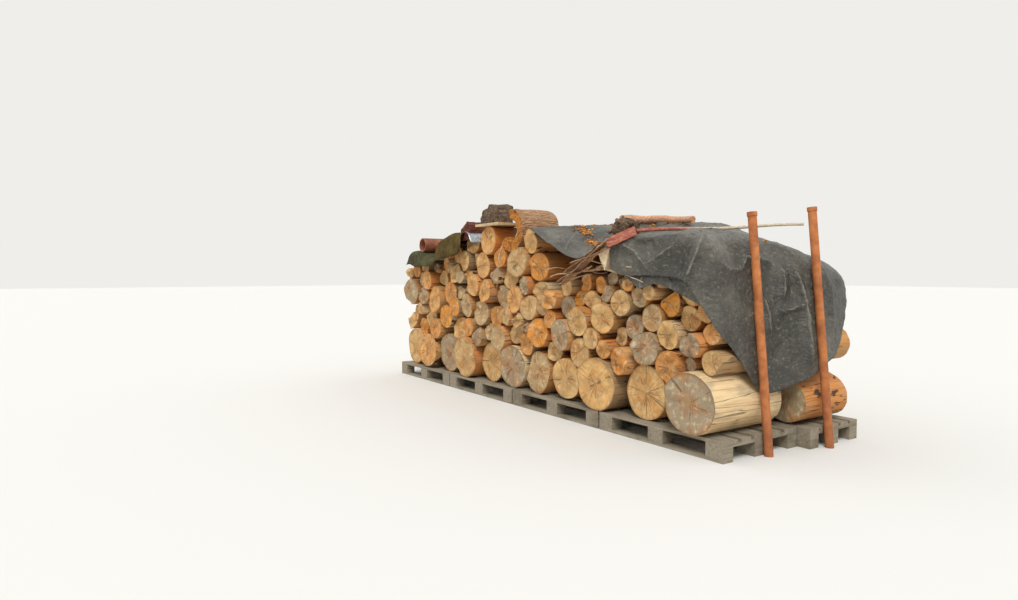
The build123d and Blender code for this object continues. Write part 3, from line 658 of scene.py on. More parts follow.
def weathered_softwood(name, along_x, tints):
    """Rough-sawn softwood gone grey outdoors: grain along the board, silver fibres and dark stains."""
    material, tree, shader = new_material(name)
    place = add_node(tree, "ShaderNodeTexCoord").outputs["Object"]
    stretch = (3.0, 55.0, 55.0) if along_x else (55.0, 3.0, 55.0)
    grain_place = add_node(tree, mapping, {"Vector": place, "Scale": stretch}).outputs[0]
    grain = add_node(tree, noise, {"Vector": grain_place, "Scale": 1.0, "Detail": 6.0,
                                   "Roughness": 0.66}).outputs["Fac"]
    wood = add_node(tree, ramp, {"Fac": grain}, stops=list(zip((0.25, 0.5, 0.75), tints))).outputs["Color"]
    stains = add_node(tree, noise, {"Vector": place, "Scale": 5.0, "Detail": 5.0,
                                    "Roughness": 0.6}).outputs["Fac"]
    stained = add_node(tree, remap, {"Value": stains, "From Min": 0.5, "From Max": 0.72,
                                     "To Max": 0.6}).outputs[0]
    toned = add_node(tree, mix, {0: stained, 6: wood, 7: linear("#5b4d3d")}, data_type="RGBA").outputs[2]
    surface(shader, colour=toned, roughness=0.9, sheen=0.2, relief=grain, strength=0.7, depth=2 * mm)
    return material


# The rows

# Where the end of a log lies that is told apart by its colour, as along and above, then how fresh that end is
# and how pale its side
known_logs = [
    (0.51, 0.893, 1.0, 0.3), (0.352, 0.801, 0.55, 0.52), (0.299, 0.608, 0.02, 0.55), (0.507, 0.671, 0.6, 0.9),
    (1.069, 0.806, 0.7, 0.5), (0.866, 0.848, 0.1, 0.2), (0.69, 0.803, 0.3, 0.3), (0.896, 0.664, 0.0, 0.1),
    (0.658, 0.555, 0.06, 0.1), (1.083, 0.64, 0.76, 0.5), (0.862, 0.476, 0.9, 0.5), (0.451, 0.444, 0.86, 0.6),
    (0.668, 0.283, 0.62, 0.7), (1.163, 0.34, 0.3, 0.9), (1.131, 0.501, 0.8, 0.5), (0.282, 0.268, 0.05, 0.93),
    (3.731, 1.142, 0.92, 0.4), (2.898, 1.383, 0.74, 0.5), (2.649, 1.262, 0.93, 0.5), (2.997, 1.165, 0.7, 0.4),
    (2.028, 1.203, 0.3, 0.95), (2.167, 1.416, 0.66, 0.6), (2.29, 1.171, 0.35, 0.3), (2.504, 1.075, 0.25, 0.3),
    (2.732, 1.087, 0.45, 0.4), (3.166, 0.966, 0.72, 0.6), (3.945, 0.939, 0.74, 0.4),
    (2.126, 1.017, 0.5, 0.95), (1.783, 1.066, 0.9, 0.4), (3.266, 1.382, 0.62, 0.5)]


def known_look(along, above, radius):
    """The look of one of the known logs, if this is one."""
    for index, (known_along, known_above, tone, shade) in enumerate(known_logs):
        if math.hypot(along - known_along, above - known_above) < 0.6 * radius:
            return tone, shade, (0.37 * index) % 1
    return None


def build_rows():
    """Both rows of cordwood, course by course, each round laid where its solid lies."""
    finishes = (sawn_end_grain(), peeled_log_side())
    # places in the list of shapes; the thickest rounds stay whole
    split_kinds = (4, 5, 7)
    thickest_split = 0.115
    # name, squeeze, flat, waver, offset of the waver, tilt of the sawn ends
    shapes = [("round_log", 0.99, 1, 0.05, 3.1, 0.4), ("oval_log", 0.9, 1, 0.07, 11.3, -0.5),
              ("lumpy_log", 0.97, 1, 0.13, 21.7, 0.7), ("knotty_log", 0.97, 1, 0.17, 33.1, -0.8),
              ("flat_sided_log", 0.97, 0.68, 0.08, 42.9, 0.5), ("half_log", 1.0, 0.35, 0.07, 57.3, -0.4),
              ("lean_log", 0.88, 1, 0.11, 63.7, 0.9), ("split_log", 0.93, 0.52, 0.1, 78.1, 0.6)]
    patterns = []
    for shape in shapes:
        pattern = log_pattern(*shape)
        for finish in finishes:
            pattern.data.materials.append(finish)
        patterns.append(pattern)
    chance = random.Random(7)
    order = [0, 1, 2, 3, 0, 4, 6, 1, 2, 0, 7, 3, 1, 5, 2, 6]
    count = 0
    for node in sorted(frame["nodes"]):
        if "_logs_" not in node:
            continue
        laid = []
        for place in rounds_in(node):
            kind = order[count % len(order)]
            if place[2] > thickest_split and kind in split_kinds:
                kind = 2
            turn = chance.uniform(0, 2 * math.pi)
            if kind in split_kinds:
                turn = chance.choice((0.3, -0.5, 2.2, 3.4))
            look = (chance.uniform(0.0, 1.0), chance.uniform(0, 1), chance.uniform(0, 1))
            if node.startswith("front"):
                look = known_look(right_end - place[0], place[1] - deck_top, place[2]) or look
            laid.append(lay_log(patterns[kind], place, turn, look))
            count += 1
        settle(join(laid, node + "_wood"), node)
    for pattern in patterns:
        bpy.data.objects.remove(pattern)


def finish_nodes(names, material):
    """Gives CAD nodes, whose shape is right, their real finish."""
    for name in names:
        data = frame["nodes"][name].data
        data.materials.clear()
        data.materials.append(material)


# Tarps

stake_lean = math.radians(5.6)
tarp_low, tarp_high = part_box("end_tarp")
tarp_left = right_end - tarp_low.x
tarp_top = tarp_high.z - deck_top
tarp_depth = tarp_high.y - front_face
# where its roof turns down to the right end
tarp_turn = 0.13
tarp_skin = 1.6 * mm


def between(points, place):
    """The height at a place on a line of (place, height) points."""
    for (x0, y0), (x1, y1) in zip(points, points[1:]):
        if place <= x1:
            return y0 + (y1 - y0) * max(0.0, place - x0) / (x1 - x0)
    return points[-1][1]


def smooth(low, high, value):
    """A soft step from 0 to 1 between two values."""
    share = min(1.0, max(0.0, (value - low) / (high - low)))
    return share * share * (3 - 2 * share)


def roof_height(along, into):
    """The big tarp's roof above the deck: a fall towards the right end, and a rise from the front edge."""
    crown = between([(0.0, 1.37), (0.4, 1.445), (0.8, tarp_top), (2.0, tarp_top)], into)
    fan = between([(0.0, 1.37), (0.4, 1.385), (0.8, 1.325), (1.43, 1.145)], into)
    share = (along - tarp_turn) / (tarp_left - tarp_turn)
    return fan + (crown - fan) * share


def end_plane(into, above):
    """How far along the right end's slope lies, behind the leaning stakes."""
    step = between([(0.0, 0.0), (0.48, 0.0), (0.81, 0.1), (1.25, 0.1), (1.45, 0.075)], into)
    return above * math.tan(stake_lean) - step - 0.006


def end_hem(into):
    """How low the big tarp hangs down the right end."""
    return between([(0.04, 0.69), (0.18, 0.57), (0.3, 0.4), (0.39, 0.29), (0.5, 0.25), (0.65, 0.31),
                    (0.92, 0.375), (1.08, 0.45), (1.27, 0.52), (1.44, 0.95)], into)


def end_tarp_net():
    """Rows of points of the big tarp, from its front hem over the roof to its back hem.

    Each row runs from the tarp's left edge over the roof to the right, and down the right end to the hem.
    """
    falls = (0.05, 0.18, 0.4, 0.6, 0.8, 1.0)
    flap = [
        [(1.05, -0.03, 1.13), (0.93, -0.045, 1.085), (0.8, -0.05, 1.075), (0.65, -0.035, 1.085),
         (0.5, -0.04, 1.075), (0.38, -0.03, 1.068), (0.252, -0.09, 1.04), (0.24, -0.075, 1.012),
         (0.231, -0.06, 0.985), (0.222, -0.045, 0.96), (0.214, -0.03, 0.933), (0.205, -0.015, 0.905)],
        [(1.06, -0.028, 1.25), (0.93, -0.045, 1.235), (0.8, -0.035, 1.22), (0.65, -0.045, 1.225),
         (0.5, -0.03, 1.215), (0.34, -0.025, 1.21), (0.19, -0.08, 1.197), (0.178, -0.055, 1.13),
         (0.174, -0.035, 1.04), (0.165, -0.02, 0.95), (0.145, -0.012, 0.87), (0.13, 0.0, 0.8)],
        [(1.06, -0.024, 1.36), (0.93, -0.028, 1.368), (0.8, -0.024, 1.37), (0.65, -0.026, 1.365),
         (0.5, -0.022, 1.368), (0.33, -0.018, 1.37), (0.147, -0.04, 1.363), (0.13, -0.005, 1.28),
         (0.12, 0.012, 1.13), (0.11, 0.02, 0.97), (0.09, 0.03, 0.82), (0.07, 0.04, 0.69)]]
    net = [[on_stack(*p) for p in row] for row in flap]
    for into in (0.06, 0.16, 0.28, 0.4, 0.52, 0.66, 0.8, 0.95, 1.1, 1.25, tarp_depth - 0.006):
        corner = end_plane(into, roof_height(tarp_turn, into))
        row = []
        for along in (tarp_left, 0.93, 0.8, 0.65, 0.5, max(0.34, corner + 0.2)):
            row.append(on_stack(along, into, roof_height(along, into) + 0.004))
        top = roof_height(tarp_turn, into)
        low = end_hem(into)
        for fall in falls:
            above = top - (top - low) * fall
            first = fall == falls[0]
            out, up = (0.07, 0.02) if first else (0.0, 0.0)
            row.append(on_stack(end_plane(into, above) + out, into, above + up))
        net.append(row)
    back_drops = (0.27, 0.29, 0.3, 0.3, 0.29, 0.27, 0.22, 0.18, 0.12, 0.09, 0.06, 0.05)
    back = front_face + tarp_depth + 0.004
    net.append([Vector((point.x, back, point.z - drop)) for point, drop in zip(net[-1], back_drops)])
    return net


def sheet_from_net(name, net, levels, creases=()):
    """One sheet of cloth over a net of points, rounded by subdivision, with its weave's own map.

    A crease is two neighbouring points of the net, each a row and a column, and how sharp the fold there is.
    """
    deselect_all()
    rows, columns = len(net), len(net[0])
    bpy.ops.mesh.primitive_grid_add(x_subdivisions=columns - 1, y_subdivisions=rows - 1, size=1)
    sheet = bpy.context.object
    mesh = sheet.data
    order = sorted(mesh.vertices, key=lambda v: (round(v.co.y, 4), round(v.co.x, 4)))
    # the weave keeps its size: each map place is how far the cloth has run
    run_x = [0.0]
    middle = net[rows // 2]
    for a, b in zip(middle, middle[1:]):
        run_x.append(run_x[-1] + (b - a).length)
    run_y = [0.0]
    for a, b in zip(net, net[1:]):
        run_y.append(run_y[-1] + (b[2] - a[2]).length)
    layer = mesh.uv_layers[0]
    layer.name = "cloth_uv"
    spot = {}
    for k, v in enumerate(order):
        spot[v.index] = (k // columns, k % columns)
    for loop in mesh.loops:
        j, i = spot[loop.vertex_index]
        layer.data[loop.index].uv = (run_x[i], run_y[j])
    for k, v in enumerate(order):
        v.co = net[k // columns][k % columns]
    only(sheet)
    sheet.name = name
    sharp = {frozenset(ends): strength for *ends, strength in creases}
    for strength in sorted(set(sharp.values())):
        pick(mesh, "edges", lambda e: sharp.get(frozenset(spot[index] for index in e.vertices)) == strength)
        bpy.ops.transform.edge_crease(value=strength)
        leave_edit()
    rounding = sheet.modifiers.new("rounding", "SUBSURF")
    rounding.levels = levels
    rounding.render_levels = levels
    rounding.boundary_smooth = "PRESERVE_CORNERS"
    apply_modifiers(sheet)
    open_all(sheet)
    bpy.ops.mesh.normals_make_consistent(inside=False)
    leave_edit()
    return sheet


def press_folds(sheet, folds):
    """Raises and sinks the cloth along fold lines, and marks narrow ridges pale: wear and a painted highlight.

    A fold is its points along, into and above, its width, and how far it stands out, less than 0 for a dip.
    """
    widest_marked_ridge = 0.036
    mesh = sheet.data
    marks = mesh.attributes.new("cloth_wear", "FLOAT", "POINT")
    places = [v.co.copy() for v in mesh.vertices]
    normals = [v.normal.copy() for v in mesh.vertices]
    lift = [0.0] * len(places)
    worn = [0.0] * len(places)
    for points, width, height in folds:
        line = [on_stack(*p) for p in points]
        total = sum((b - a).length for a, b in zip(line, line[1:]))
        middle = sum(line, Vector()) / len(line)
        near = 0.6 * total + 3 * width + 0.2
        for index, place in enumerate(places):
            if (place - middle).length > near:
                continue
            best, run = None, 0.0
            for a, b in zip(line, line[1:]):
                stretch = b - a
                share = min(1.0, max(0.0, (place - a).dot(stretch) / stretch.length_squared))
                away = place - a - stretch * share
                off_cloth = away.dot(normals[index])
                gap = (away - normals[index] * off_cloth).length if abs(off_cloth) < 0.12 else 9.0
                if best is None or gap < best[0]:
                    best = (gap, (run + share * stretch.length) / total)
                run += stretch.length
            gap, share = best
            if gap > 3 * width:
                continue
            taper = smooth(0.0, 0.18, share) * smooth(1.0, 0.82, share)
            bell = math.exp(-gap / width) if height > 0 else math.exp(-(gap / width) ** 2)
            lift[index] += height * bell * (0.25 + 0.75 * taper)
            # a thin pale mark on each narrow ridge, partly wear and partly a painted highlight
            if height > 0 and width < widest_marked_ridge:
                worn[index] = max(worn[index], math.exp(-(gap / (0.3 * width)) ** 2) * taper)
    for index, v in enumerate(mesh.vertices):
        v.co = places[index] + normals[index] * lift[index]
        marks.data[index].value = worn[index]


def fray_hem(sheet, strength):
    """Marks a sheet's own edge as worn, where the weave frays paler."""
    mesh = sheet.data
    faces_at = {}
    for face in mesh.polygons:
        for edge in face.edge_keys:
            faces_at[edge] = faces_at.get(edge, 0) + 1
    marks = mesh.attributes["cloth_wear"]
    for edge, faces in faces_at.items():
        for index in edge:
            if faces == 1:
                marks.data[index].value = strength


def crumple(sheet, name, size, strength):
    """Small crumples of one size all over a stiff sheet: creases with flat cloth between them."""
    texture = lumps(sheet.name + " " + name, size)
    texture.noise_type = "HARD_NOISE"
    push_out(sheet, texture, 0.3, strength)
    apply_modifiers(sheet)


def thicken(sheet, thickness):
    wall = sheet.modifiers.new("thickness", "SOLIDIFY")
    wall.thickness = thickness
    wall.offset = 0
    apply_modifiers(sheet)
    smooth_faces(sheet)


def under_layer():
    """The tarp's folded-under part that hangs in the shade behind the front flap."""
    rows = [[(0.98, 0.02, 1.2), (0.8, 0.02, 1.2), (0.65, 0.02, 1.2), (0.5, 0.02, 1.2), (0.38, 0.02, 1.18),
             (0.28, 0.02, 1.12)],
            [(0.95, -0.012, 1.1), (0.8, -0.012, 1.1), (0.65, -0.014, 1.1), (0.5, -0.014, 1.1),
             (0.36, -0.012, 1.06), (0.24, -0.006, 0.98)],
            [(0.86, -0.014, 1.05), (0.745, -0.02, 0.96), (0.63, -0.016, 1.03), (0.51, -0.018, 1.01),
             (0.33, -0.014, 0.94), (0.2, 0.0, 0.88)]]
    return sheet_from_net("end_tarp_under_layer", [[on_stack(*p) for p in row] for row in rows], 4)


def build_end_tarp(material):
    """The big tarp: creased at its corner, with its folds, its hem and the layer under its flap."""
    corner = 6
    creases = [((0, corner), (1, corner), 0.95), ((1, corner), (2, corner), 0.95),
               ((2, corner), (3, corner), 0.6)]
    creases += [((row, corner), (row + 1, corner), 0.35) for row in range(3, 12)]
    creases += [((2, column), (2, column + 1), 0.3) for column in range(corner)]
    sheet = sheet_from_net("end_tarp_cloth", end_tarp_net(), 4, creases)
    press_folds(sheet, [
        # the corner fold, then the front flap
        ([(0.135, 0.04, 1.39), (0.147, -0.04, 1.363), (0.19, -0.08, 1.197), (0.252, -0.09, 1.04)], 0.024,
         0.017),
        ([(0.27, 0.1, 1.4), (0.3, -0.02, 1.3), (0.42, -0.04, 1.1)], 0.06, -0.03),
        ([(0.95, -0.03, 1.33), (0.78, -0.04, 1.26), (0.66, -0.04, 1.16), (0.6, -0.04, 1.09)], 0.034, 0.026),
        ([(0.66, -0.03, 1.16), (0.55, -0.04, 1.21), (0.4, -0.03, 1.3)], 0.03, 0.024),
        ([(0.85, -0.03, 1.33), (0.7, -0.03, 1.29), (0.6, -0.03, 1.33)], 0.05, -0.034),
        ([(0.85, -0.03, 1.13), (0.82, -0.04, 1.2), (0.95, -0.04, 1.26)], 0.05, -0.02),
        # the right end: the band's edge, the long ridge with its branch, and the dents beside them
        ([(0.11, 0.03, 1.19), (0.103, 0.146, 1.12), (0.103, 0.265, 1.12), (0.112, 0.343, 1.21),
          (0.111, 0.474, 1.2), (0.079, 0.575, 1.17), (0.063, 0.617, 1.13)], 0.035, 0.04),
        ([(0.1, 0.47, 1.15), (0.078, 0.544, 1.05), (0.056, 0.579, 0.93)], 0.045, -0.012),
        ([(0.03, 0.7, 1.2), (0.006, 0.77, 1.023), (-0.014, 0.793, 0.882), (-0.029, 0.808, 0.781),
          (-0.046, 0.82, 0.61), (-0.065, 0.814, 0.38)], 0.035, 0.075),
        ([(-0.014, 0.793, 0.882), (0.008, 0.709, 0.848), (0.031, 0.628, 0.83), (0.046, 0.584, 0.855)], 0.03,
         0.05),
        ([(0.053, 0.652, 1.15), (0.04, 0.66, 1.0), (0.03, 0.64, 0.9)], 0.035, 0.045),
        ([(0.03, 0.715, 1.1), (0.01, 0.73, 0.93)], 0.03, -0.012),
        ([(0.0, 0.86, 1.2), (-0.01, 0.88, 1.0), (-0.03, 0.9, 0.8)], 0.04, -0.012),
        ([(0.083, 0.46, 0.96), (0.064, 0.513, 0.817), (0.045, 0.527, 0.66)], 0.035, 0.04),
        ([(0.06, 0.62, 0.75), (0.03, 0.6, 0.6), (0.02, 0.6, 0.45)], 0.07, -0.012),
        ([(0.02, 1.1, 1.2), (-0.03, 1.17, 0.95), (-0.05, 1.16, 0.65)], 0.08, 0.02),
        # the roof, and the groove under the pole
        ([(0.95, 0.15, 1.4), (0.5, 0.54, 1.42), (0.1, 0.89, 1.38)], 0.045, -0.022),
        ([(0.6, 0.3, 1.44), (0.4, 0.4, 1.42), (0.2, 0.42, 1.38)], 0.06, 0.02),
        ([(0.9, 0.5, 1.5), (0.6, 0.75, 1.5), (0.3, 0.9, 1.36)], 0.07, -0.02)])
    fray_hem(sheet, 0.75)
    under = under_layer()
    press_folds(under, [([(0.74, -0.02, 0.96), (0.72, -0.01, 1.1)], 0.03, 0.015),
                        ([(0.4, -0.02, 0.98), (0.45, -0.01, 1.1)], 0.04, -0.015)])
    sheet = join([sheet, under], "end_tarp_cloth")
    crumple(sheet, "creases", 0.16, 0.016)
    crumple(sheet, "small creases", 0.06, 0.007)
    crumple(sheet, "ripples", 0.028, 0.003)
    thicken(sheet, tarp_skin)
    return settle(sheet, "end_tarp", material)


def top_of(node, x, y):
    """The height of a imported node's upper face at one place, found by looking straight down on it."""
    hit, place = frame["nodes"][node].ray_cast(Vector((x, y, 5.0)), Vector((0, 0, -1)))[:2]
    return place.z if hit else None


def net_over(node, columns, rows, drop=0.0):
    """A net of points on a packed sheet's upper face, in rows from its front edge to its back."""
    low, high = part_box(node)
    edge = 1.5 * mm
    net = []
    for v in range(rows):
        y = low.y + edge + (high.y - low.y - 2 * edge) * v / (rows - 1)
        xs = [low.x + edge + (high.x - low.x - 2 * edge) * u / (columns - 1) for u in range(columns)]
        heights = [top_of(node, x, y) for x in xs]
        known = [z for z in heights if z is not None]
        for i, z in enumerate(heights):
            if z is None:
                # a place that misses the sheet takes the next height in its row, or the last one
                heights[i] = ([later for later in heights[i:] if later is not None] or known[-1:])[0]
        net.append([Vector((x, y, z - drop)) for x, z in zip(xs, heights)])
    return net


def build_middle_tarp(material):
    """The smaller tarp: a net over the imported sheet, drooping at its front hem, with folds to its corner."""
    net = net_over("middle_tarp", 17, 19)
    droops = (0.0, 0.004, 0.008, 0.01, 0.012, 0.014, 0.012, 0.008, 0.006, 0.004)
    for i, point in enumerate(net[0]):
        point.z -= droops[i % len(droops)]
        point.y -= 0.004
    sheet = sheet_from_net("middle_tarp_cloth", net, 3)
    corner = 1.49
    press_folds(sheet, [
        ([(corner, -0.03, 1.2), (1.55, 0.3, 1.35), (1.7, 0.7, 1.55)], 0.03, 0.02),
        ([(corner - 0.1, -0.03, 1.22), (1.3, 0.25, 1.36), (1.2, 0.6, 1.5)], 0.05, -0.02),
        ([(1.9, -0.03, 1.42), (1.75, 0.2, 1.42), (1.6, 0.35, 1.42)], 0.06, -0.02),
        ([(2.1, 0.1, 1.5), (1.9, 0.45, 1.55), (1.7, 0.6, 1.55)], 0.03, 0.016),
        ([(1.2, -0.03, 1.28), (1.25, 0.2, 1.4), (1.4, 0.5, 1.5)], 0.04, 0.016),
        ([(1.62, -0.03, 1.25), (1.72, 0.1, 1.36), (1.85, 0.3, 1.47)], 0.03, 0.014)])
    crumple(sheet, "creases", 0.16, 0.016)
    crumple(sheet, "small creases", 0.06, 0.007)
    thicken(sheet, tarp_skin)
    return settle(sheet, "middle_tarp", material)


# Things on top

def furrowed_bark():
    """Thick pine bark gone grey-brown: plates parted by furrows that run along the log."""
    material, tree, shader = new_material("furrowed_pine_bark")
    place = add_node(tree, "ShaderNodeTexCoord").outputs["Object"]
    # plates some 28 mm wide and 170 mm long
    plate_place = add_node(tree, mapping, {"Vector": place, "Scale": (36.0, 6.0, 36.0)}).outputs[0]
    wander = add_node(tree, noise, {"Vector": place, "Scale": 16.0, "Detail": 3.0}).outputs["Color"]
    moved = add_node(tree, vector_maths, {0: plate_place, 1: wander}, operation="ADD").outputs[0]
    plates = add_node(tree, cells, {"Vector": moved, "Scale": 1.0},
                      feature="DISTANCE_TO_EDGE").outputs["Distance"]
    grain_place = add_node(tree, mapping, {"Vector": place, "Scale": (130.0, 12.0, 130.0)}).outputs[0]
    grain = add_node(tree, noise, {"Vector": grain_place, "Scale": 1.0, "Detail": 5.0,
                                   "Roughness": 0.7}).outputs["Fac"]
    tone = add_node(tree, ramp, {"Fac": grain}, stops=[
        (0.3, "#84624a"), (0.5, "#ab8362"), (0.62, "#c49f7c"), (0.78, "#dcc2a0")]).outputs["Color"]
    furrow = add_node(tree, remap, {"Value": plates, "From Min": 0.16, "From Max": 0.02,
                                    "To Max": 0.45}).outputs[0]
    barked = add_node(tree, mix, {0: furrow, 6: tone, 7: linear("#5b4331")}, data_type="RGBA").outputs[2]
    height = add_node(tree, remap, {"Value": plates, "From Min": 0.0, "From Max": 0.3}).outputs[0]
    relief = add_node(tree, maths, {0: grain, 1: 0.5, 2: height}, operation="MULTIPLY_ADD").outputs[0]
    surface(shader, colour=barked, roughness=0.92, sheen=0.2, relief=relief, strength=0.9, depth=7 * mm)
    return material


def rotted_heartwood(name, tints, along_y=55.0, rot_dark=0.75):
    """Old wood, hollowed by rot or greyed by rain: long fibres, dark cracks and crumbling patches."""
    material, tree, shader = new_material(name)
    place = add_node(tree, "ShaderNodeTexCoord").outputs["Object"]
    fibre_place = add_node(tree, mapping, {"Vector": place, "Scale": (along_y, 5.0, along_y)}).outputs[0]
    fibres = add_node(tree, noise, {"Vector": fibre_place, "Scale": 1.0, "Detail": 6.0,
                                    "Roughness": 0.68}).outputs["Fac"]
    wood = add_node(tree, ramp, {"Fac": fibres},
                    stops=list(zip((0.28, 0.45, 0.6, 0.78), tints))).outputs["Color"]
    rot = add_node(tree, noise, {"Vector": place, "Scale": 17.0, "Detail": 6.0,
                                 "Roughness": 0.7}).outputs["Fac"]
    rotten = add_node(tree, remap, {"Value": rot, "From Min": 0.52, "From Max": 0.68,
                                    "To Max": rot_dark}).outputs[0]
    darkened = add_node(tree, mix, {0: rotten, 6: wood, 7: linear("#31241b")}, data_type="RGBA").outputs[2]
    relief = add_node(tree, maths, {0: rot, 1: -1.0, 2: fibres}, operation="MULTIPLY_ADD").outputs[0]
    surface(shader, colour=darkened, roughness=0.9, sheen=0.2, relief=relief, strength=0.9, depth=6 * mm)
    return material


def galvanised_zinc():
    """Hot-dipped zinc sheet left in the rain: pale grey spangle, dull, with white rust and dirt."""
    material, tree, shader = new_material("galvanised_steel_sheet")
    place = add_node(tree, "ShaderNodeTexCoord").outputs["Object"]
    spangle = add_node(tree, cells, {"Vector": place, "Scale": 70.0}).outputs["Color"]
    one = add_node(tree, "ShaderNodeSeparateColor", {"Color": spangle}).outputs["Red"]
    zinc = add_node(tree, ramp, {"Fac": one}, stops=[(0.0, "#8d9499"), (1.0, "#b4babd")]).outputs["Color"]
    dirt = add_node(tree, noise, {"Vector": place, "Scale": 14.0, "Detail": 6.0,
                                  "Roughness": 0.7}).outputs["Fac"]
    dirty = add_node(tree, remap, {"Value": dirt, "From Min": 0.5, "From Max": 0.7, "To Max": 0.7}).outputs[0]
    dulled = add_node(tree, mix, {0: dirty, 6: zinc, 7: linear("#6f6f68")}, data_type="RGBA").outputs[2]
    rough = add_node(tree, remap, {"Value": dirt, "To Min": 0.32, "To Max": 0.62}).outputs[0]
    feed(shader, {"Base Color": dulled, "Metallic": 0.85, "Roughness": rough})
    return material


def bitumen_felt(name, tints):
    """Roofing felt gone green with algae and moss: matt grit over bitumen, brown where it has worn thin."""
    material, tree, shader = new_material(name)
    place = add_node(tree, "ShaderNodeTexCoord").outputs["Object"]
    broad = add_node(tree, noise, {"Vector": place, "Scale": 7.0, "Detail": 6.0,
                                   "Roughness": 0.65}).outputs["Fac"]
    felt = add_node(tree, ramp, {"Fac": broad}, stops=list(zip((0.3, 0.5, 0.7), tints))).outputs["Color"]
    grit = add_node(tree, noise, {"Vector": place, "Scale": 260.0, "Detail": 2.0}).outputs["Fac"]
    gritty = add_node(tree, remap, {"Value": grit, "From Min": 0.55, "From Max": 0.7,
                                    "To Max": 0.45}).outputs[0]
    specked = add_node(tree, mix, {0: gritty, 6: felt, 7: linear("#8f8a72")}, data_type="RGBA").outputs[2]
    relief = add_node(tree, maths, {0: grit, 1: 0.2, 2: broad}, operation="MULTIPLY_ADD").outputs[0]
    surface(shader, colour=specked, roughness=0.93, sheen=0.15, relief=relief, strength=0.5, depth=4 * mm)
    return material


def fired_clay():
    """A clay drain pipe, salt glazed once: red-brown, dull, with soot-dark patches and lime."""
    material, tree, shader = new_material("fired_clay")
    place = add_node(tree, "ShaderNodeTexCoord").outputs["Object"]
    cloud = add_node(tree, noise, {"Vector": place, "Scale": 12.0, "Detail": 6.0,
                                   "Roughness": 0.6}).outputs["Fac"]
    clay = add_node(tree, ramp, {"Fac": cloud}, stops=[
        (0.3, "#5f3320"), (0.48, "#854d33"), (0.62, "#9c6243"), (0.8, "#b3835f")]).outputs["Color"]
    surface(shader, colour=clay, roughness=0.55, sheen=0.45, relief=cloud, strength=0.3, depth=2 * mm)
    return material


def aged_paint():
    """Red-brown wood paint, sun-bleached and worn to bare grain, on the short board and the long pole."""
    material, tree, shader = new_material("worn_painted_wood")
    place = add_node(tree, "ShaderNodeTexCoord").outputs["Object"]
    along = add_node(tree, "ShaderNodeSeparateXYZ", {0: place}).outputs["X"]
    grain_place = add_node(tree, mapping, {"Vector": place, "Scale": (9.0, 70.0, 90.0)}).outputs[0]
    grain = add_node(tree, noise, {"Vector": grain_place, "Scale": 1.0, "Detail": 5.0,
                                   "Roughness": 0.65}).outputs["Fac"]
    paint = add_node(tree, ramp, {"Fac": grain},
                     stops=[(0.3, "#84483a"), (0.55, "#b06a57"), (0.75, "#cf9b88")]).outputs["Color"]
    bare = add_node(tree, ramp, {"Fac": grain},
                    stops=[(0.3, "#a3937c"), (0.55, "#cbbca2"), (0.75, "#e2d6bf")]).outputs["Color"]
    from_x = right_end - 0.72
    worn_off = add_node(tree, remap, {"Value": along, "From Min": from_x,
                                      "From Max": from_x + 0.16}).outputs[0]
    shown = add_node(tree, mix, {0: worn_off, 6: paint, 7: bare}, data_type="RGBA").outputs[2]
    surface(shader, colour=shown, roughness=0.8, sheen=0.3, relief=grain, strength=0.5, depth=2 * mm)
    return material


def roughen(piece, pushes, name):
    """Pushes a surface in and out by cloudy textures: size, strength and stretch along the piece for each."""
    for i, (size, strength, stretch) in enumerate(pushes):
        place = bpy.data.objects.new(name + " place", None)
        bpy.context.collection.objects.link(place)
        place.scale = (1, stretch, 1)
        push_out(piece, lumps(f"{name} {i}", size, 4), 0.5, strength, place)
        apply_modifiers(piece)
        bpy.data.objects.remove(place)


def build_hollow_log(bark, rotted):
    """The shell of a rotted log: bark on its back, orange wood inside and round its open end."""
    low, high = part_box("hollow_log")
    radius = 0.205
    wall_thickness = 0.09
    open_from, open_to = 100, 215
    middle = (low + high) / 2 + Vector((0.012, 0, 0))
    middle.z = high.z + 0.045 - radius
    deselect_all()
    bpy.ops.mesh.primitive_cylinder_add(vertices=72, radius=radius * 0.97, depth=high.y - low.y,
                                        end_fill_type="NOTHING", location=middle,
                                        rotation=(math.pi / 2, 0, 0))
    log = bpy.context.object
    settle_place(log)
    mesh = log.data

    def open_side(face):
        angle = math.degrees(math.atan2(face.center.z - middle.z, face.center.x - middle.x)) % 360
        return open_from < angle < open_to

    pick(mesh, "polygons", open_side)
    bpy.ops.mesh.delete(type="FACE")
    bpy.ops.mesh.select_all(action="SELECT")
    bpy.ops.mesh.subdivide(number_cuts=1)
    leave_edit()
    wall = log.modifiers.new("wall", "SOLIDIFY")
    wall.thickness = wall_thickness
    wall.offset = -1
    wall.material_offset = 1
    wall.material_offset_rim = 1
    for material in (bark, rotted):
        mesh.materials.append(material)
    apply_modifiers(log)
    pick(mesh, "edges", lambda e: abs(span(mesh, e).y) > 0.1)
    bpy.ops.mesh.subdivide(number_cuts=9)
    leave_edit()
    roughen(log, [(0.16, 0.05, 2.0), (0.035, 0.02, 4.0)], "hollow log")
    smooth_faces(log, 50)
    log.name = "hollow_log_shell"
    return settle(log, "hollow_log")


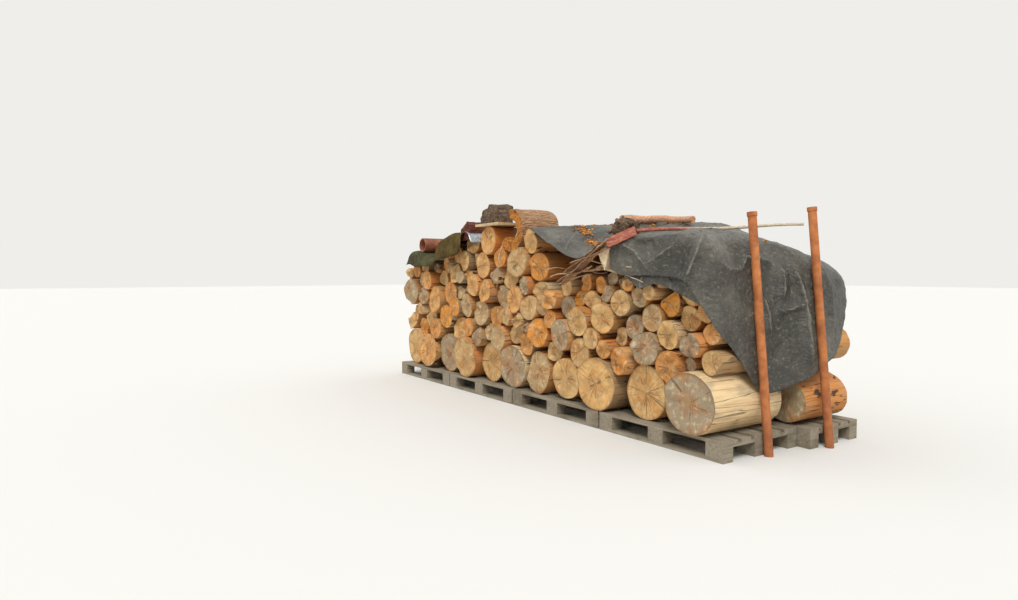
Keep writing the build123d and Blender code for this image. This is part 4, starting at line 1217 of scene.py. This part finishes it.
def hewn_block(name, node, cuts, voxel, pushes, material, shift=(0, 0, 0)):
    """A rough piece of wood in a node's box: cut to shape plane by plane, then weathered.

    A cut is a point of the box in shares of its width and height, and how steep its plane leans.
    """
    low, high = (corner + Vector(shift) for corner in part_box(node))
    middle = (low + high) / 2
    size = high - low
    deselect_all()
    bpy.ops.mesh.primitive_cube_add(size=1, location=middle)
    block = bpy.context.object
    block.scale = size
    settle_place(block)
    for (u, v), (nx, nz), ny in cuts:
        open_all(block)
        at = (high.x - size.x * u, middle.y, low.z + size.z * v)
        bpy.ops.mesh.bisect(plane_co=at, plane_no=(nx, ny, nz), use_fill=True, clear_outer=True)
        leave_edit()
    make_whole(block, voxel)
    roughen(block, pushes, name)
    smooth_faces(block)
    block.name = name
    return settle(block, node, material)


def build_root(material):
    """A knot of roots and earth-dark wood that holds the tarp down."""
    low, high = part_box("root_weight")
    shift = Vector((-0.1, 0.0, -0.03))
    growth = 1.12
    middle = (low + high) / 2 + shift
    size = (high - low) * growth
    deselect_all()
    bpy.ops.mesh.primitive_ico_sphere_add(subdivisions=4, radius=0.5, location=middle)
    knot = bpy.context.object
    knot.scale = (size.x * 0.96, size.y * 0.9, size.z * 0.86)
    settle_place(knot)
    parts = [knot]
    # each root stub: direction, length and thickness at its foot
    stubs = [((-0.9, -0.35, -0.15), 0.12, 0.03), ((0.85, -0.3, 0.3), 0.1, 0.028),
             ((0.2, -0.8, 0.45), 0.09, 0.03), ((-0.5, 0.3, 0.8), 0.1, 0.03), ((0.5, 0.7, 0.45), 0.1, 0.026),
             ((-0.7, 0.6, 0.1), 0.11, 0.028)]
    for direction, length, thick in stubs:
        heading = Vector(direction).normalized()
        foot = middle + heading * size * 0.46
        bpy.ops.mesh.primitive_cone_add(vertices=10, radius1=thick, radius2=thick * 0.35, depth=length,
                                        location=foot, rotation=heading.to_track_quat("Z", "Y").to_euler())
        parts.append(bpy.context.object)
    root = join(parts, "root_knot")
    make_whole(root, 0.006)
    roughen(root, [(0.06, 0.045, 1.0), (0.02, 0.02, 1.0)], "root knot")
    smooth_faces(root)
    return settle(root, "root_weight", material)


def build_lain_sheet(name, node, columns, rows, thickness, material, waver, hem=(), lowest=0.0):
    """A stiff sheet on the tops, with the small waves and bent corners of an old one.

    hem gives how low its front edge is bent down, as (along, above) points from its right end to its left.
    A net point below lowest is lifted to it, and one that a round's swell reaches is lifted clear of it.
    """
    most_swell, clear = 0.03, 0.021
    net = net_over(node, columns, rows, thickness / 2)
    wood_rows = [piece for piece in bpy.data.objects if piece.name.endswith("_wood")]
    for row in net:
        for point in row:
            point.z = max(point.z, deck_top + lowest)
            wood = top_on(wood_rows, right_end - point.x, point.y - front_face)
            if wood and wood.z - point.z < most_swell:
                point.z = max(point.z, wood.z + clear)
    if hem:
        edge = net[0]
        for share in (0.5, 1.0):
            row = []
            for point in edge:
                low = min(deck_top + between(hem, right_end - point.x), point.z - 0.01)
                row.append(Vector((point.x, point.y - 0.012 - 0.006 * share,
                                   point.z + (low - point.z) * share)))
            net.insert(0, row)
    sheet = sheet_from_net(name, net, 2)
    crumple(sheet, "waves", 0.22, waver)
    crumple(sheet, "dents", 0.06, waver * 0.3)
    thicken(sheet, thickness)
    return settle(sheet, node, material)


def build_pipe(material):
    """A clay drain pipe, open at both ends, with softly rounded edges."""
    low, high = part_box("clay_pipe")
    middle = (low + high) / 2
    radius = (high.z - low.z) / 2
    wall = 0.014
    deselect_all()
    bpy.ops.mesh.primitive_cylinder_add(vertices=64, radius=radius, depth=high.y - low.y,
                                        end_fill_type="NGON", location=middle, rotation=(math.pi / 2, 0, 0))
    pipe = bpy.context.object
    settle_place(pipe)
    mesh = pipe.data
    pick(mesh, "polygons", lambda f: abs(f.normal.y) > 0.9)
    bpy.ops.mesh.inset(thickness=wall, use_individual=True)
    leave_edit()
    # the two round faces inside the walls are bridged into the bore
    pick(mesh, "polygons", lambda f: abs(f.normal.y) > 0.9 and len(f.vertices) > 8)
    bpy.ops.mesh.bridge_edge_loops()
    leave_edit()
    round_edges(pipe, 0.003, 2)
    smooth_faces(pipe, 35)
    pipe.name = "clay_drain_pipe"
    return settle(pipe, "clay_pipe", material)


def bark_strip(name, start, end, width, bow, seed):
    """One curled strip of bark from one place to another."""
    a, b = on_stack(*start), on_stack(*end)
    length = (b - a).length
    deselect_all()
    bpy.ops.mesh.primitive_grid_add(x_subdivisions=36, y_subdivisions=8, size=1)
    strip = bpy.context.object
    for v in strip.data.vertices:
        x, y = v.co.x, v.co.y
        taper = 1 - 0.45 * abs(2 * x) ** 3
        v.co = (x * length, y * width * taper, bow * (1 - 4 * y * y) + 0.012 * math.sin(5 * x + seed))
    roughen(strip, [(0.05, 0.016, 1.0), (0.3, 0.05, 1.0)], name)
    wall = strip.modifiers.new("bark", "SOLIDIFY")
    wall.thickness = 0.007
    apply_modifiers(strip)
    strip.rotation_euler = (b - a).to_track_quat("X", "Z").to_euler()
    strip.location = (a + b) / 2
    settle_place(strip)
    smooth_faces(strip, 60)
    return strip


def twig(start, end, thickness, bend):
    """A thin dead branch: a tapered stick with a bend in it."""
    a, b = on_stack(*start), on_stack(*end)
    deselect_all()
    bpy.ops.mesh.primitive_cone_add(vertices=7, radius1=thickness, radius2=thickness * 0.45,
                                    depth=(b - a).length)
    stick = bpy.context.object
    mesh = stick.data
    pick(mesh, "edges", lambda e: abs(span(mesh, e).z) > 0.01)
    bpy.ops.mesh.subdivide(number_cuts=7)
    leave_edit()
    half = (b - a).length / 2
    for v in mesh.vertices:
        share = v.co.z / half
        v.co.x += bend * (1 - share * share)
        v.co.y += 0.4 * bend * math.sin(4 * share)
    stick.rotation_euler = (b - a).to_track_quat("Z", "X").to_euler()
    stick.location = (a + b) / 2
    settle_place(stick)
    smooth_faces(stick)
    return stick


def build_bark_and_twigs(strip_bark, dead_wood):
    """The strips of bark that lean on the rubble by the tarps, and the dead branches among them."""
    strips = [
        bark_strip("long strip", (1.63, -0.06, 1.0), (1.0, -0.065, 1.35), 0.085, 0.016, 0.3),
        bark_strip("second strip", (1.58, -0.05, 1.1), (1.06, -0.055, 1.3), 0.065, 0.012, 1.9),
        bark_strip("thin strip", (1.66, -0.06, 1.02), (1.25, -0.05, 1.16), 0.04, 0.01, 2.7),
        bark_strip("high strip", (1.5, -0.05, 1.17), (1.12, -0.055, 1.33), 0.035, 0.01, 5.2),
        bark_strip("short strip", (1.5, 0.0, 1.1), (1.12, -0.02, 1.16), 0.06, 0.012, 4.1)]
    settle(join(strips, "bark_strips"), "bark_slab", strip_bark)
    chance = random.Random(19)
    sticks = []
    count = 15
    for i in range(count):
        along = 0.72 + 1.05 * i / (count - 1) + chance.uniform(-0.04, 0.04)
        above = 1.05 + 0.11 * chance.uniform(0, 1) + (0.05 if along < 1.3 else 0.0)
        reach = chance.uniform(0.12, 0.3)
        rise = chance.uniform(-0.07, 0.07)
        into = chance.uniform(-0.02, 0.06)
        start = (along + reach / 2, into - 0.03, above - rise / 2)
        end = (along - reach / 2, into + chance.uniform(0.0, 0.1), above + rise / 2)
        sticks.append(twig(start, end, chance.uniform(0.004, 0.009), chance.uniform(-0.03, 0.03)))
    # three that stand out: below the flap, and two across the rounds under the hollow log
    sticks.append(twig((1.08, -0.025, 1.12), (0.70, -0.035, 1.03), 0.008, 0.012))
    sticks.append(twig((2.58, -0.02, 1.36), (2.66, -0.02, 0.95), 0.006, 0.02))
    sticks.append(twig((2.33, -0.03, 1.42), (2.24, -0.02, 1.53), 0.006, 0.02))
    settle(join(sticks, "dead_branches"), None, dead_wood)


def build_wedge(material):
    """A split quarter of a log, its pale end to the front, beside the big tarp."""
    deselect_all()
    bpy.ops.mesh.primitive_cylinder_add(vertices=3, radius=1, depth=1, end_fill_type="NGON",
                                        rotation=(math.pi / 2, 0, 0))
    wedge = bpy.context.object
    settle_place(wedge)
    mesh = wedge.data
    corners = sorted({(round(v.co.x, 3), round(v.co.z, 3)) for v in mesh.vertices}, key=lambda c: c[1])
    low_point, sides = corners[0], sorted(corners[1:])
    if abs(corners[0][1] - corners[1][1]) < 0.01:
        low_point, sides = corners[2], sorted(corners[:2])
    aims = {low_point: (1.115, 1.115), sides[0]: (1.225, 1.305), sides[1]: (1.045, 1.335)}
    for v in mesh.vertices:
        along, above = aims[(round(v.co.x, 3), round(v.co.z, 3))]
        v.co = on_stack(along, -0.035 if v.co.y < 0 else 0.16, above)
    open_all(wedge)
    bpy.ops.mesh.normals_make_consistent(inside=False)
    bpy.ops.mesh.subdivide(number_cuts=4)
    leave_edit()
    round_edges(wedge, 0.004)
    roughen(wedge, [(0.04, 0.012, 2.0)], "wedge")
    smooth_faces(wedge, 40)
    wedge.name = "split_wedge"
    return settle(wedge, None, material)


def build_board(material):
    """The short painted board that leans over the big tarp's front edge."""
    a, b = on_stack(1.035, -0.075, 1.322), on_stack(0.80, -0.012, 1.412)
    thickness, width = 0.026, 0.068
    deselect_all()
    bpy.ops.mesh.primitive_cube_add(size=1)
    board = bpy.context.object
    board.scale = ((b - a).length, thickness, width)
    board.rotation_euler = (b - a).to_track_quat("X", "Z").to_euler()
    board.location = (a + b) / 2
    settle_place(board)
    mesh = board.data
    pick(mesh, "edges", lambda e: span(mesh, e).length > 0.1)
    bpy.ops.mesh.subdivide(number_cuts=7)
    bpy.ops.mesh.select_all(action="SELECT")
    bpy.ops.mesh.subdivide(number_cuts=2)
    leave_edit()
    roughen(board, [(0.07, 0.014, 1.0)], "short board")
    round_edges(board, 0.0025, 2)
    smooth_faces(board, 40)
    board.name = "short_painted_board"
    return settle(board, "short_board", material)


def long_stick(name, points, thickness):
    """A thin pole through given points, thinner towards its far end."""
    spine = [on_stack(*p) for p in points]
    taper = 0.965
    deselect_all()
    heading = (spine[1] - spine[0]).to_track_quat("Z", "Y")
    bpy.ops.mesh.primitive_circle_add(vertices=14, radius=thickness, fill_type="NGON", location=spine[0],
                                      rotation=heading.to_euler())
    pole = bpy.context.object
    settle_place(pole)
    mesh = pole.data
    for k in range(1, len(spine)):
        pick(mesh, "polygons", lambda f: (f.center - spine[k - 1]).length < 0.2 * thickness)
        bpy.ops.mesh.extrude_region_move(TRANSFORM_OT_translate={"value": spine[k] - spine[k - 1]})
        bpy.ops.transform.resize(value=(taper,) * 3, center_override=spine[k])
        leave_edit()
    open_all(pole)
    bpy.ops.mesh.normals_make_consistent(inside=False)
    leave_edit()
    smooth_faces(pole, 50)
    pole.name = name
    return pole


def top_on(pieces, along, into):
    """The highest point of these pieces at one place of the stack, or None where they don't reach."""
    tops = []
    for piece in pieces:
        hit, place = piece.ray_cast(on_stack(along, into, 3.0), Vector((0, 0, -1)))[:2]
        if hit:
            tops.append(place)
    return max(tops, key=lambda place: place.z) if tops else None


def build_poles(tarps, painted, bark_covered):
    """The thin painted pole that runs past the stakes, and the thick one in its bark across the tarps."""
    painted_thickness, bark_thickness = 0.0155, 0.036
    steps = 12
    places = []
    for k in range(steps + 1):
        share = k / steps
        waver = 0.006 * math.sin(9 * share)
        places.append((0.95 + (0.053 - 0.95) * share, 0.15 + 0.78 * share, 1.422 + 0.026 * share + waver))
    settle(long_stick("long_pole", places, painted_thickness), "ridge_pole", painted)

    steps = 8
    spots = [(1.8 - 0.115 * k, 0.8 - 0.012 * k) for k in range(steps + 1)]
    heights = [(top_on(tarps, *spot) or on_stack(0, 0, 1.5)).z - deck_top for spot in spots]
    line = [heights[0] + (heights[-1] - heights[0]) * k / steps for k in range(steps + 1)]
    # its underside clears the highest fold of the cloth
    lift = max(height - level for height, level in zip(heights, line)) + 0.8 * bark_thickness
    places = [(*spots[k], line[k] + lift + 0.005 * math.sin(1.7 * k)) for k in range(steps + 1)]
    settle(long_stick("bark_covered_pole", places, bark_thickness), None, bark_covered)


def build_litter(tarps, material):
    """Chips of orange bark that have fallen on the sheeting, in a trail and around the root."""
    deselect_all()
    bpy.ops.mesh.primitive_cube_add(size=1)
    chip = bpy.context.object
    # length, width and thickness
    chip.scale = (0.024, 0.011, 0.004)
    settle_place(chip)
    open_all(chip)
    bpy.ops.mesh.bevel(offset=0.0012, affect="EDGES")
    leave_edit()
    chance = random.Random(31)
    # each trail: from and to, as along and into, how many chips, and how far they are spread
    trails = [((2.08, 0.47), (1.75, 0.34), 70, 0.03), ((1.76, 0.34), (1.43, 0.2), 90, 0.026),
              ((1.44, 0.2), (1.14, 0.05), 90, 0.03), ((1.9, 0.75), (1.0, 0.72), 60, 0.05),
              ((1.9, 0.5), (1.2, 0.5), 14, 0.2), ((0.9, 0.5), (0.3, 0.6), 12, 0.2),
              ((1.9, 1.2), (0.4, 1.2), 16, 0.2)]
    chips = []
    for (along_0, into_0), (along_1, into_1), count, spread in trails:
        for _ in range(count):
            share = chance.random()
            along = along_0 + (along_1 - along_0) * share + chance.gauss(0, spread)
            into = into_0 + (into_1 - into_0) * share + chance.gauss(0, spread)
            scale = chance.uniform(0.6, 1.6)
            turn = (chance.uniform(-0.4, 0.4), chance.uniform(-0.4, 0.4), chance.uniform(0, 6.28))
            place = top_on(tarps, along, into)
            if place is None:
                continue
            copy = chip.copy()
            copy.data = chip.data.copy()
            bpy.context.collection.objects.link(copy)
            copy.scale = (scale, scale * chance.uniform(0.6, 1.2), scale)
            copy.rotation_euler = turn
            copy.location = place + Vector((0, 0, 0.003))
            chips.append(copy)
    bpy.data.objects.remove(chip)
    return settle(join(chips, "bark_litter"), None, material)


# The scene

set_camera()
set_stage()
build_rows()
stakes = [f"{side}_{row}_stake" for side in ("right", "left") for row in ("front", "back")]
finish_nodes(stakes + ["stake_caps"], rusted_tube())
greys = ("#6f6454", "#8d8371", "#a69d8b")
long_boards = weathered_softwood("weathered_boards", True, greys)
cross_boards = weathered_softwood("weathered_cross_boards", False, greys)
for row in ("front", "back"):
    finish_nodes([row + "_pallet_deck_boards", row + "_pallet_base_boards"], long_boards)
    finish_nodes([row + "_pallet_cross_boards", row + "_pallet_blocks"], cross_boards)
sheeting = woven_sheeting()
big_tarp = build_end_tarp(sheeting)
small_tarp = build_middle_tarp(sheeting)
bark = furrowed_bark()
orange_rot = rotted_heartwood("rotted_orange_heartwood", ("#6b3d18", "#a2642a", "#bd7f3a", "#d0a062"))
dark_rot = rotted_heartwood("weathered_stump_wood", ("#382b22", "#574538", "#7a6650", "#a28d74"))
dead_wood = rotted_heartwood("dead_branch_wood", ("#8a735b", "#ab9273", "#c8ae8c", "#dcc8a8"), 20.0, 0.3)
red_wood = rotted_heartwood("dark_red_offcut_wood", ("#3b2019", "#5a2f24", "#74453a", "#8c6354"))
pale_split = rotted_heartwood("pale_split_wood", ("#c2a47c", "#d9c09a", "#e8d6b6", "#f0e4cc"), 55.0, 0.15)
build_hollow_log(bark, orange_rot)
stump_cuts = [((0.06, 0.5), (0.8, 0.5), 0.0), ((0.3, 0.9), (0.3, 0.95), 0.0),
              ((0.95, 0.6), (-0.85, 0.5), 0.0), ((0.62, 1.0), (-0.5, 0.9), 0.0),
              ((0.5, 0.5), (0.0, 0.0), 1.0), ((0.3, 0.5), (0.2, 0.0), 0.27)]
hewn_block("stump_block", "stump", stump_cuts, 0.008, [(0.09, 0.045, 2.0), (0.03, 0.022, 3.0)],
           dark_rot)
offcut_cuts = [((0.0, 0.7), (0.5, 0.8), 0.0), ((1.0, 0.5), (-0.5, 0.8), 0.0)]
offcut_shift = (-0.14, -0.12, 0.065)
hewn_block("dark_offcut", "offcut", offcut_cuts, 0.007, [(0.05, 0.02, 2.0)], red_wood,
           offcut_shift)
build_root(dark_rot)
build_lain_sheet("bent_zinc", "zinc_sheet", 9, 9, 0.0012, galvanised_zinc(), 0.014, lowest=1.41)
felt_thickness = 0.006
mossy_felt = bitumen_felt("mossy_roofing_felt", ("#33280b", "#4d3c15", "#6b5828"))
build_lain_sheet("arched_felt", "felt_sheet", 15, 9, felt_thickness, mossy_felt, 0.014,
                 [(3.25, 1.42), (3.33, 1.29), (3.6, 1.26), (3.84, 1.235), (3.9, 1.25)])
grey_felt = bitumen_felt("green_grey_felt", ("#29271a", "#403d26", "#5b573a"))
build_lain_sheet("flat_felt", "flat_sheet", 15, 9, felt_thickness, grey_felt, 0.02,
                 [(3.85, 1.19), (4.35, 1.165), (4.62, 1.24)])
build_pipe(fired_clay())
build_bark_and_twigs(bark, dead_wood)
build_wedge(pale_split)
paint = aged_paint()
build_board(paint)
tarps = [big_tarp, small_tarp]
pink_bark = rotted_heartwood("pinkish_bark_pole", ("#a06d4e", "#c08c6a", "#d8ad90", "#e8ccb2"), 55.0, 0.3)
build_poles(tarps, paint, pink_bark)
orange_chips = rotted_heartwood("orange_bark_chips", ("#9a5a26", "#c47c35", "#dda058", "#ecc28c"), 55.0, 0.1)
build_litter(tarps, orange_chips)
finish_nodes(["top_plank"], weathered_softwood("sun_bleached_plank", True, ("#a98d63", "#c9ae84", "#dcc8a2")))
